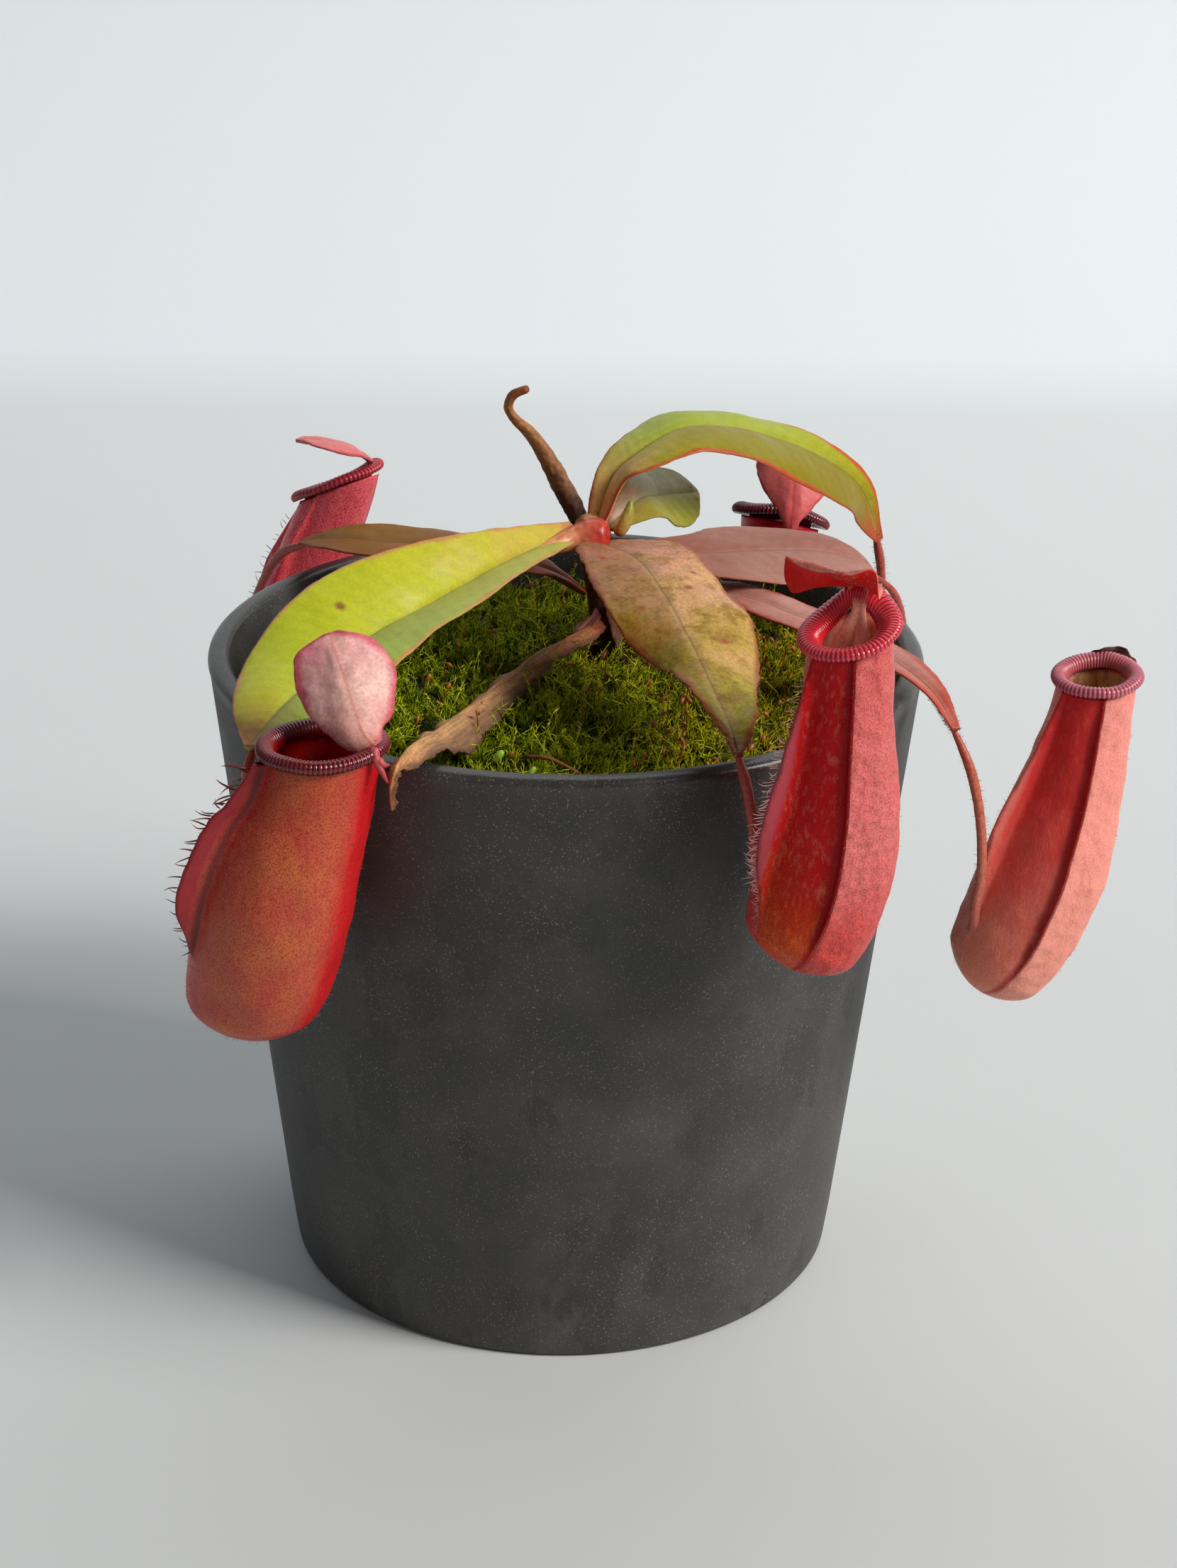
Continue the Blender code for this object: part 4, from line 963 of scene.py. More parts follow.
# ----------------------------------------------------------------------------
# Dead leaf: one old blade, dried to tan parchment, folded and frayed along its lower edge. It
# still hangs from the stem and lies over the rim, its tip thinned to a curled thread.
# ----------------------------------------------------------------------------
DEAD_LEAF = {
    "midrib": [
        (6.6, 17.4, 110.2), (4.4, 14.0, 108.6), (0.1, 8.0, 108.3), (-5.6, -1.0, 108.0), (-11.5, -14.0, 108.1),
        (-16.8, -28.0, 108.6), (-20.7, -42.0, 110.8), (-23.4, -55.0, 113.9), (-25.2, -61.5, 113.6),
        (-26.1, -63.6, 110.6), (-26.0, -63.2, 106.8),
    ],
    "left": [2.0, 2.4, 2.8, 3.2, 4.2, 5.6, 5.2, 3.4, 1.3, 0.9, 0.65],
    "right": [2.0, 2.2, 2.4, 2.2, 1.8, 1.8, 2.2, 2.6, 1.3, 0.9, 0.65],
    "faces": [(-0.2, -0.3, 1), (-0.3, -0.3, 1), (-0.1, -0.4, 1), (-0.2, -0.4, 1), (-0.5, -1.0, 0.3)],
    "fold": [-40, -40, -38, -40, -38, -34, -40, -50, -50],
    "droop": [0],
    "ripple": 0.7,
    "waves": 5,
}
# Withered leaf bases: the way each hangs from the stem, its half width, and the way it faces.
WITHERED_BASES = [
    ([(8.0, 16.4, 111.5), (9.0, 15.2, 108.0), (10.0, 14.6, 104.0), (10.6, 14.4, 100.6)], 1.9, (0.2, -1, 0.1)),
    ([(5.6, 16.4, 110.0), (3.0, 13.5, 108.2), (1.2, 12.2, 106), (-0.2, 12.4, 103.6)], 1.2, (-0.3, -1, 0.2)),
    (
        [(11.2, 18.6, 108.6), (14.4, 18.0, 107.2), (16.6, 17.8, 105), (17.6, 18.4, 102.9)],
        1.3,
        (0.4, -0.8, 0.5),
    ),
    ([(7.6, 22.0, 109.6), (8.6, 25.6, 108.4), (9.4, 27.8, 106), (9.8, 28.4, 103)], 1.5, (0.1, 1, 0.2)),
]


def parchment(name, stops):
    """Dried blade: matt and granular tan, with dark purplish-brown burnt edges; its long folds are painted
    shade and light, and its lower flap is darkened by painted shade.
    """
    material, tree, shader = new_material(name, Roughness=0.82, IOR=1.4)
    place = add(tree, "TexCoord").outputs["Object"]
    along = add(tree, "Attribute", attribute_name="along").outputs["Fac"]
    across = add(tree, "Attribute", attribute_name="across").outputs["Fac"]
    edge = add(tree, "Attribute", attribute_name="edge").outputs["Fac"]
    run = add(tree, "Attribute", attribute_name="run").outputs["Fac"]
    patch = add(tree, "TexNoise", {"Vector": place, "Scale": grains(5), "Detail": 5.0}).outputs[0]
    fine = add(tree, "TexNoise", {"Vector": place, "Scale": grains(0.5), "Detail": 3.0}).outputs[0]
    shift = add(tree, "MapRange", {0: patch, 1: 0.3, 2: 0.7, 3: -0.1, 4: 0.1}).outputs[0]
    place_along = add(tree, "Math", {0: along, 1: shift}, operation="ADD").outputs[0]
    tone = add(tree, "ValToRGB", {0: place_along}, stops).outputs[0]
    # The long folds: darker and lighter lengthwise streaks, painted shade and light.
    slow = add(tree, "Math", {0: run, 1: 0.12}, operation="MULTIPLY").outputs[0]
    threads = add(tree, "CombineXYZ", {0: across, 1: slow}).outputs[0]
    threads = add(tree, "TexNoise", {"Vector": threads, "Scale": 1.7, "Detail": 3.0}).outputs[0]
    crease = add(tree, "MapRange", {0: threads, 1: 0.32, 2: 0.62, 3: 0.5, 4: 1.12}).outputs[0]
    speck = add(tree, "MapRange", {0: fine, 1: 0.32, 2: 0.68, 3: 0.72, 4: 1.15}).outputs[0]
    dark = add(tree, "Math", {0: crease, 1: speck}, operation="MULTIPLY").outputs[0]
    dark = add(tree, "CombineColor", {0: dark, 1: dark, 2: dark}).outputs[0]
    tone = add(tree, "Mix", {0: 0.85, 6: tone, 7: dark}, data_type="RGBA", blend_type="MULTIPLY").outputs[2]
    # Painted shade: the lower flap, on the left half, darkened purplish brown.
    under = add(tree, "Math", {0: across, 1: patch}, operation="ADD").outputs[0]
    under = add(tree, "MapRange", {0: under, 1: -0.9, 2: -2.6, 3: 0.0, 4: 0.6}).outputs[0]
    tone = add(tree, "Mix", {0: under, 6: tone, 7: "#4E342C"}, data_type="RGBA").outputs[2]
    near = add(tree, "Math", {0: edge, 1: patch}, operation="SUBTRACT").outputs[0]
    near = add(tree, "MapRange", {0: near, 1: -0.3, 2: 0.5, 3: 0.7, 4: 0.0}).outputs[0]
    tone = add(tree, "Mix", {0: near, 6: tone, 7: "#54322A"}, data_type="RGBA").outputs[2]
    tree.links.new(tone, shader.inputs["Base Color"])
    height = add(tree, "Mix", {0: 0.5, 2: fine, 3: threads}).outputs[0]
    lumps = add(tree, "Bump", {"Height": height, "Strength": 0.9, "Distance": 0.3 * MM})
    tree.links.new(lumps.outputs[0], shader.inputs["Normal"])
    return material


def make_dead_leaf():
    stops = [
        (0.0, "#8A3A1C"), (0.12, "#B4683E"), (0.3, "#B67E54"), (0.6, "#CC9A66"), (0.85, "#CC8E58"),
        (1.0, "#8A4620"),
    ]
    dry = parchment("leaf_dried", stops)
    bm = blade_skin(DEAD_LEAF, rows=180, half=22, thick=0.34, keel=-0.2, rough=0.5, ragged=0.85, seed=9.0)
    keep("blade_dead", bm, dry, ["dead_leaf"], "dead_leaf")
    withered = parchment("leaf_base_withered", [(0.0, "#8A4A3A"), (0.5, "#A06A58"), (1.0, "#6A4434")])
    for number, (midrib, width, faces) in enumerate(WITHERED_BASES, 1):
        shape = {
            "midrib": midrib,
            "left": [width * 0.7, width, width, 0.5],
            "right": [width * 0.7, width, width * 0.8, 0.5],
            "faces": [faces],
            "fold": [35],
            "droop": [0],
            "ripple": 0.5,
            "waves": 2,
        }
        seed = number * 3.0
        bm = blade_skin(shape, rows=40, half=10, thick=0.3, keel=0.3, rough=0.3, ragged=0.8, seed=seed)
        keep(f"withered_base_{number}", bm, withered, slot="dead_leaf")


make_dead_leaf()

# ----------------------------------------------------------------------------
# Tendrils: wiry and round, the midrib of each leaf running on past its tip and turning up into
# the base of the pitcher. Pinkish red, thinly haired.
# ----------------------------------------------------------------------------
TENDRILS = {
    "front_left": [
        (-48.1, -55.4, 112.9), (-48.4, -54.6, 109.5), (-48.9, -51.0, 104), (-50.0, -47.2, 96),
        (-51.0, -44.6, 87), (-51.6, -43.8, 78), (-52.3, -46.0, 72.5),
    ],
    "front_right": [
        (26.1, -59.5, 114.3), (27.3, -61.8, 110.5), (28.4, -63.8, 104.5), (29.4, -65.0, 97.0),
        (30.2, -65.6, 90.5),
    ],
    "low_right": [
        (62.8, -30.3, 106.8), (65, -31.2, 101), (66.9, -32.4, 93), (67.6, -33.0, 84), (67.0, -32.6, 76),
        (66.0, -31.4, 69.0),
    ],
    "arching_right": [(56.6, 45.1, 113.4), (57.2, 46.0, 108), (57.4, 47.6, 101), (57.2, 48.6, 94)],
    "back_right": [
        (54.8, 27.2, 113.3), (58.5, 31, 108), (61.0, 38, 96), (60.8, 48, 80), (57.5, 60, 66),
        (51.5, 70, 58), (46.5, 73.2, 58.6), (43.0, 71.4, 62.8),
    ],
    "back_left": [(-48.0, 40.4, 114.1), (-52.5, 46, 109.5), (-57.5, 52, 99), (-61, 57, 86), (-60.6, 60, 77)],
}
# Where each tendril runs into the foot of what it carries.
TENDRIL_ENDS = {
    "front_left": (-49.2, -57, 66.4),
    "front_right": (33.4, -65.4, 84.6),
    "low_right": (68.4, -28.8, 62.6),
    "arching_right": (57.0, 49.3, 93.2),
    "back_right": (41.5, 70.5, 63),
    "back_left": (-56, 60, 75),
}


def bristle(bend, thick):
    """A bent, pointed hair 1 mm long, standing on Z and leaning towards X."""
    route = [(0, 0, -0.08), (0.02 * bend, 0, 0.3), (0.3 * bend, 0, 0.68), (bend, 0, 0.95)]
    radii = [thick, thick * 0.8, thick * 0.5, thick * 0.08]
    mesh = stored("template", tube(route, radii, around=3, steps=5, facing=(0, 1, 0)))
    up = np.array([v.co.z for v in mesh.vertices]) / MM
    return mesh, np.clip(up, 0, 1)


def hair_place(root, way, bend, length):
    """Where a bristle template goes: root in mm, the way it points, the way it bends, length in mm."""
    z = Vector(way).normalized()
    x = (Vector(bend) - z * Vector(bend).dot(z)).normalized()
    y = z.cross(x)
    turn = Matrix((x, y, z)).transposed().to_4x4()
    return Matrix.Translation(Vector(root) * MM) @ turn @ Matrix.Scale(length, 4)


def hair_tissue(name, foot, tip):
    """Plant hair: translucent, from its foot's colour to a paler or darker tip."""
    material, tree, shader = new_material(name, Roughness=0.4, IOR=1.45)
    far = add(tree, "Attribute", attribute_name="tip").outputs["Fac"]
    tone = add(tree, "ValToRGB", {0: far}, [(0.1, foot), (0.9, tip)]).outputs[0]
    tree.links.new(tone, shader.inputs["Base Color"])
    return material


# Hairs as (bend, thickness), each a share of its length.
LONG_HAIRS = [bristle(0.12, 0.045), bristle(0.3, 0.04), bristle(0.45, 0.042)]
STIFF_HAIRS = [bristle(0.12, 0.07), bristle(0.3, 0.062), bristle(0.45, 0.066)]
SHORT_HAIRS = [bristle(0.2, 0.06), bristle(0.4, 0.055)]


def fuzz_places(pieces, each, length, lean=0.5, allowed=None):
    """Short hairs standing on the skin of the pieces, about `each` of them on every one."""
    places = []
    for piece in pieces:
        points = [(v.co / MM, v.normal.copy()) for v in piece.data.vertices if allowed is None or allowed(v)]
        for point, normal in rng.choices(points, k=each):
            slip = Vector((rng.uniform(-1, 1), rng.uniform(-1, 1), rng.uniform(-1, 1))) * 0.25
            way = normal + slip * lean * 2
            number = rng.randrange(len(SHORT_HAIRS))
            spot = hair_place(point + slip * 0.4, way, slip + Vector((0, 0, 0.3)), rng.uniform(*length))
            places.append((number, spot, rng.random()))
    return places


def make_tendrils():
    red = [(0.0, "#B04A38"), (0.3, "#B85448"), (0.7, "#C0605A"), (1.0, "#B8383A")]
    orange = [(0.0, "#B8503C"), (0.3, "#C86A50"), (0.7, "#C8705E"), (1.0, "#C05A50")]
    tissues = {"low_right": stalk_tissue("tendril_orange", orange, roughness=0.42, streak=0.5, bump=0.1)}
    plain = stalk_tissue("tendril_red", red, roughness=0.42, streak=0.5, bump=0.1)
    radii = [0.35, 0.8, 0.8, 0.8, 0.85, 0.95, 1.5]
    made = []
    for name, route in TENDRILS.items():
        # It starts a little under the leaf, before the tip.
        start = smooth(LEAVES[name]["midrib"], 0.965) - np.array((0, 0, 0.35))
        route = [start] + route[1:-1] + [TENDRIL_ENDS[name]]
        bm = tube(route, radii, around=20, steps=130, facing=(0.3, 1, 0.2), relief=0.08)
        tissue = tissues.get(name, plain)
        made.append(keep(f"tendril_skin_{name}", bm, tissue, [f"tendril_{name}"], "tendril"))
    down = hair_tissue("tendril_hairs_brown", "#8A4A34", "#C8907A")
    thin = fuzz_places(made, each=330, length=(0.35, 0.8))
    scatter("tendril_hairs", SHORT_HAIRS, thin, down, slot="tendril")
    margins = [bpy.data.objects[name] for name in ("blade_front_right", "blade_low_right")]
    thin = fuzz_places(margins, 900, (0.25, 0.6), lean=0.8, allowed=lambda v: abs(v.normal.z) < 0.55)
    scatter("leaf_margin_hairs", SHORT_HAIRS, thin, down, slot="bronze_leaf")


make_tendrils()

# ----------------------------------------------------------------------------
# Pitchers: each is one leaf tip grown into a thin hollow jug with two ridges down its front. The
# ridges carry stiff hairs, the skin is speckled and streaked, and the inside is wet and paler.
# ----------------------------------------------------------------------------
# Lists run from a pitcher's foot to its mouth: the way of its centre line, half widths across and
# front to back, and how high each wing stands. Angles are in degrees, `front` from the east and
# `wing_at` from the front; `mouth` is the way that the mouth looks.
PITCHERS = {
    "front_left": {
        "line": [
            (-49.2, -57, 66.4), (-48.4, -57.3, 73), (-46.4, -58, 80), (-44.2, -59.5, 90), (-41.2, -60, 100),
            (-38.6, -60, 107), (-36.4, -60, 115.0),
        ],
        "front": 152,
        "across": [8.4, 10.2, 12, 12, 10.5, 9.4, 8.9],
        "along": [9, 10.6, 11.5, 12, 11, 9.5, 8.3],
        "wing_at": 56,
        "wings": (
            [0, 0, 0, 0, 0, 1.8, 4.3, 4.6, 4.4, 4.2, 3.9, 3.3, 2.0],
            [0, 0, 0, 0, 0, 1.8, 4.3, 4.6, 4.4, 4.2, 3.9, 3.3, 2.0],
        ),
        "mouth": (0, 0, 1),
    },
    "front_right": {
        "line": [
            (34.4, -65.0, 82.4), (36.0, -64.4, 86.2), (37.6, -63.7, 90.6), (39.1, -63.3, 95.8),
            (40.2, -63.6, 102), (41, -64.5, 109.6), (41.2, -65, 118), (41.4, -65, 127), (41.5, -65, 136.2),
        ],
        "front": 241,
        "across": [7.6, 9.0, 9.9, 10.3, 10.2, 9.2, 7.8, 6.8, 6.3],
        "along": [7.4, 8.8, 9.5, 9.8, 9.6, 8.7, 7.4, 6.5, 5.9],
        "wing_at": 30,
        "wings": (
            [0, 0, 0, 0.2, 0.8, 1.6, 2.4, 3.2, 3.8, 4.2, 4.2, 4.0, 3.4, 2.6, 1.6, 0.5],
            [0, 0, 0, 0.5, 1.0, 1.3, 1.4, 1.4, 1.4, 1.4, 1.4, 1.4, 1.3, 1.2, 0.9, 0.3],
        ),
        "mouth": (-0.25, -0.21, 1),
    },
    "low_right": {
        "line": [
            (68.6, -28.4, 60.6), (71.4, -28.0, 64.8), (74.2, -27.5, 69.8), (76.8, -27.0, 76.0),
            (79.2, -26.6, 83.4), (81.0, -26.2, 90.4), (82.6, -26, 97.4), (84, -26, 105.8), (85.2, -26, 114.5),
        ],
        "front": 240,
        "across": [7.0, 8.6, 9.7, 10.2, 10.2, 9.4, 8.2, 7.0, 6.2],
        "along": [6.6, 8.2, 9.2, 9.6, 9.4, 8.6, 7.5, 6.5, 5.8],
        "wing_at": 33,
        "wings": (
            [0, 0, 0, 0.2, 0.6, 1.2, 1.8, 2.4, 3.0, 3.4, 3.4, 3.2, 2.6, 2.0, 1.2, 0.4],
            [0, 0, 0, 0.5, 1.0, 1.3, 1.4, 1.4, 1.4, 1.4, 1.4, 1.4, 1.3, 1.2, 0.9, 0.3],
        ),
        "mouth": (-0.08, -0.1, 1),
    },
    "back_right": {
        "line": [
            (41.5, 70.5, 63), (41.3, 69, 65.5), (41, 67.2, 71), (40.8, 66.2, 79), (40.4, 65.4, 88),
            (40, 64.8, 98), (39.7, 64, 111),
        ],
        "front": 100,
        "across": [5, 7.2, 9, 9.6, 9.2, 8, 7.2],
        "along": [5, 7.2, 9, 9.6, 9.2, 8, 7.0],
        "wing_at": 36,
        "wings": ([0, 1.5, 2.5, 2.8, 2.8, 2.4, 0.3], [0, 1.5, 2.5, 2.8, 2.8, 2.4, 0.3]),
        "mouth": (0.2, 0.33, 1),
    },
    "back_left": {
        "line": [
            (-56, 60, 75), (-54.5, 60, 76.5), (-52.6, 60, 81), (-50.8, 60, 88), (-48.8, 59.8, 97),
            (-45.8, 59, 108), (-42, 57.5, 119),
        ],
        "front": 190,
        "across": [4.8, 6.6, 8.2, 8.8, 8.2, 7.0, 6.0],
        "along": [4.8, 6.6, 8.2, 8.8, 8.2, 7.0, 6.0],
        "wing_at": 40,
        "wings": ([0, 1.2, 2.2, 2.5, 2.5, 2, 0.3], [0, 1.2, 2.2, 2.5, 2.5, 2, 0.3]),
        "mouth": (-0.37, 0.3, 1),
    },
}
YOUNG_PITCHER = {
    "line": [
        (57.0, 49.3, 93.2), (56.6, 51.8, 90.8), (56.0, 55.2, 91), (55.0, 57.2, 94.5), (54.6, 58.0, 99),
        (54.4, 58.4, 104),
    ],
    "radius": [1.6, 2.4, 3.1, 3.2, 2.5, 1.4],
}
PITCHER_WALL = 0.75
ROUND_END = 0.14
SLANT_FROM = 0.55
OUTSIDE_ROWS = 120
INSIDE_ROWS = 46
INSIDE_END = 0.09
FLANGE = [-2.4, -1.5, -0.9, -0.62, -0.45, -0.3, -0.12, 0.12, 0.3, 0.45, 0.62, 0.9, 1.5, 2.4]
RIDGE = [-1.6, -0.8, -0.5, -0.36, -0.22, -0.08, 0.15, 0.45, 0.9, 1.5, 2.3, 3.4]


def flange(d):
    """Height share of a thin wing, d mm from its middle."""
    return math.exp(-((abs(d) / 0.5) ** 4)) + 0.05 * math.exp(-((d / 1.5) ** 2))


def ridge(d):
    """Height share of a ridge that steps down sharply to the face and slopes gently to the flank."""
    return math.exp(-((d / 0.4) ** 4)) if d < 0 else math.exp(-((d / 2.0) ** 1.6))


# Wing shapes on the left and right of each pitcher's front.
WING_KINDS = {
    "front_left": (flange, flange),
    "front_right": (flange, ridge),
    "low_right": (flange, ridge),
    "back_right": (flange, flange),
    "back_left": (flange, flange),
}


def pitcher_radius(shape, t, angle):
    """Vector from the centre line to the skin, without wings, at an angle from the front."""
    heading = math.radians(shape["front"])
    point, tangent, front, side = frame_at(shape["line"], t, (math.cos(heading), math.sin(heading), 0))
    radius = front * math.cos(angle) * float(smooth(shape["along"], t))
    return point, tangent, radius + side * math.sin(angle) * float(smooth(shape["across"], t))


def mouth_shift(shape, t, tangent, radius):
    """How far a skin point slides along the pitcher so that the mouth lies in its slanted plane."""
    look = unit(np.asarray(shape["mouth"], float))
    share = min(max((t - SLANT_FROM) / (1 - SLANT_FROM), 0.0), 1.0)
    share = share * share * (3 - 2 * share)
    return tangent * (-radius.dot(look) / max(tangent.dot(look), 0.2) * share)


def pitcher_columns(shape, kinds, size):
    """Angles round the pitcher with, for each, its distance in mm from either wing; close at wings."""
    wing = math.radians(shape["wing_at"])
    left = [-wing - d / size for d in reversed(FLANGE if kinds[0] is flange else RIDGE)]
    right = [wing + d / size for d in (FLANGE if kinds[1] is flange else RIDGE)]
    flank_left = list(np.linspace(-math.pi, left[0], 27))[:-1]
    face = list(np.linspace(left[-1], right[0], 14))[1:-1]
    flank_right = list(np.linspace(right[-1], math.pi, 27))[1:]
    return flank_left + left + face + right + flank_right


def pitcher_skin(shape, kinds):
    """The hollow pitcher: up its outside with the wings, over the rim and down its inside."""
    wing = math.radians(shape["wing_at"])
    up = [(k / OUTSIDE_ROWS) ** 1.15 for k in range(OUTSIDE_ROWS + 1)]
    down = [INSIDE_END + (1 - INSIDE_END) * (1 - k / INSIDE_ROWS) ** 1.1 for k in range(1, INSIDE_ROWS + 1)]
    path = up + down
    rows = len(path) - 1
    columns = len(pitcher_columns(shape, kinds, 8.0)) - 1

    def ring(v):
        row = round(v * rows)
        t = path[row]
        inside = row > OUTSIDE_ROWS
        size = max(float(smooth(shape["across"], t)), 4.0)
        grown = min((t - (INSIDE_END if inside else 0.0)) / ROUND_END, 1.0)
        grown = math.sqrt(max(1 - (1 - grown) ** 2, 0.0))
        points, marks = [], {key: [] for key in ("along", "ca", "sa", "inside", "crest", "face", "band")}
        for angle in pitcher_columns(shape, kinds, size):
            point, tangent, radius = pitcher_radius(shape, t, angle)
            radius = radius * grown
            reach = np.linalg.norm(radius)
            d_left, d_right = (-wing - angle) * size, (angle - wing) * size
            crest = 0.0
            if inside:
                radius = radius * max(1 - PITCHER_WALL / max(reach, PITCHER_WALL), 0.0)
            else:
                jag = 1 + 0.06 * noise.noise(Vector((t * 26, angle * 2, 1.7)))
                left = float(smooth(shape["wings"][0], t)) * kinds[0](d_left)
                right = float(smooth(shape["wings"][1], t)) * kinds[1](d_right)
                crest = max(left, right) * jag
                soft = noise.noise(Vector(point + radius) / 6.0) * 0.35
                soft += noise.noise(Vector(point + radius) / 2.2) * 0.1
                radius = radius + unit(radius) * (crest + soft * min(1.0, t * 6) * min(1.0, (1 - t) * 8))
            marks["along"].append(t)
            marks["ca"].append(math.cos(angle))
            marks["sa"].append(math.sin(angle))
            marks["inside"].append(float(inside))
            marks["crest"].append(crest)
            marks["face"].append(float(d_left < 0 and d_right < 0))
            # band: nearness to the right ridge on the face side, for the dark band that is partly painted
            # ridge shadow.
            marks["band"].append(min(max(1 + d_right / 2.6, 0), 1) if d_right < -0.15 else 0.0)
            points.append(point + radius + mouth_shift(shape, t, tangent, radius))
        return points, marks

    return skin(columns, rows, ring)


def towards(tree, marks, angle):
    """How far the skin looks towards an angle from the front: 1 there and -1 on the other side."""
    turn = math.radians(angle)
    lean = add(tree, "Math", {0: marks["ca"], 1: math.cos(turn)}, operation="MULTIPLY").outputs[0]
    lean = add(tree, "Math", {0: marks["sa"], 1: math.sin(turn), 2: lean}, operation="MULTIPLY_ADD")
    return lean.outputs[0]


def pitcher_tissue(name, face, flank, wing, inner, **looks):
    """Pitcher skin: waxy and waterproof, speckled and streaked in reds; the inside is wet and paler.

    The ramps run from the pitcher's foot to its mouth.
    """
    material, tree, shader = new_material(name, IOR=1.46, Specular_IOR_Level=looks.get("shine", 0.28))
    place = add(tree, "TexCoord").outputs["Object"]
    marks = {}
    for mark_name in ("along", "ca", "sa", "inside", "crest", "face", "band"):
        marks[mark_name] = add(tree, "Attribute", attribute_name=mark_name).outputs["Fac"]
    squeeze = (1.0, 1.0, looks.get("stretch", 0.28))
    tall = add(tree, "VectorMath", {0: place, 1: squeeze}, operation="MULTIPLY").outputs[0]
    patch = add(tree, "TexNoise", {"Vector": place, "Scale": grains(7), "Detail": 4.0}).outputs[0]
    size = grains(looks.get("blotch", 1.1))
    blotch = add(tree, "TexNoise", {"Vector": tall, "Scale": size, "Detail": 5.0}).outputs[0]
    fine = add(tree, "TexNoise", {"Vector": place, "Scale": grains(0.26), "Detail": 2.0}).outputs[0]
    shift = add(tree, "MapRange", {0: patch, 1: 0.3, 2: 0.7, 3: -0.1, 4: 0.1}).outputs[0]
    along = add(tree, "Math", {0: marks["along"], 1: shift}, operation="ADD").outputs[0]
    face_tone = add(tree, "ValToRGB", {0: along}, face).outputs[0]
    mottle, low, high, most = looks.get("mottle", ([(0.0, "#C85440")], 0.52, 0.68, 0.35))
    mottle = add(tree, "ValToRGB", {0: along}, mottle).outputs[0]
    amount = add(tree, "MapRange", {0: blotch, 1: low, 2: high, 3: 0.0, 4: most}).outputs[0]
    face_tone = add(tree, "Mix", {0: amount, 6: face_tone, 7: mottle}, data_type="RGBA").outputs[2]
    flank_tone = add(tree, "ValToRGB", {0: along}, flank).outputs[0]
    streak, low, high, most = looks.get("streak", ("#B83A40", 0.5, 0.66, 0.4))
    amount = add(tree, "MapRange", {0: blotch, 1: low, 2: high, 3: 0.0, 4: most}).outputs[0]
    flank_tone = add(tree, "Mix", {0: amount, 6: flank_tone, 7: streak}, data_type="RGBA").outputs[2]
    deep, angle, width = looks.get("deep", ("#A01020", 180.0, 0.3))
    lean = towards(tree, marks, angle)
    lean = add(tree, "MapRange", {0: lean, 1: 1 - width, 2: 1 - width * 0.45, 3: 0.0, 4: 0.9}).outputs[0]
    flank_tone = add(tree, "Mix", {0: lean, 6: flank_tone, 7: deep}, data_type="RGBA").outputs[2]
    glow, angle, most = looks.get("glow", ("#D8883C", 0.0, 0.0))
    lean = towards(tree, marks, angle)
    lean = add(tree, "MapRange", {0: lean, 1: 0.55, 2: 0.98, 3: 0.0, 4: most}).outputs[0]
    spread = add(tree, "MapRange", {0: patch, 1: 0.36, 2: 0.62, 3: 0.2, 4: 1.0}).outputs[0]
    lean = add(tree, "Math", {0: lean, 1: spread}, operation="MULTIPLY").outputs[0]
    flank_tone = add(tree, "Mix", {0: lean, 6: flank_tone, 7: glow}, data_type="RGBA").outputs[2]
    tone = add(tree, "Mix", {0: marks["face"], 6: flank_tone, 7: face_tone}, data_type="RGBA").outputs[2]
    # Beside the right ridge: partly the skin's own dark crimson, partly painted shadow that the ridge casts
    # on the face.
    ridge_shadow_tone, most = looks.get("band", ("#6A0A14", 0.0))
    amount = add(tree, "MapRange", {0: marks["band"], 1: 0.4, 2: 0.72, 3: 0.0, 4: most}).outputs[0]
    tone = add(tree, "Mix", {0: amount, 6: tone, 7: ridge_shadow_tone}, data_type="RGBA").outputs[2]
    speck, most = looks.get("speck", ("#8A1420", 0.6))
    amount = add(tree, "MapRange", {0: fine, 1: 0.48, 2: 0.6, 3: 0.0, 4: most}).outputs[0]
    tone = add(tree, "Mix", {0: amount, 6: tone, 7: speck}, data_type="RGBA").outputs[2]
    pale, low, most = looks.get("pale", ("#E8B8A8", 0.66, 0.6))
    amount = add(tree, "MapRange", {0: patch, 1: low, 2: low + 0.06, 3: 0.0, 4: most}).outputs[0]
    tone = add(tree, "Mix", {0: amount, 6: tone, 7: pale}, data_type="RGBA").outputs[2]
    amount = add(tree, "MapRange", {0: marks["crest"], 1: 1.6, 2: 2.6, 3: 0.0, 4: 0.85}).outputs[0]
    tone = add(tree, "Mix", {0: amount, 6: tone, 7: wing}, data_type="RGBA").outputs[2]
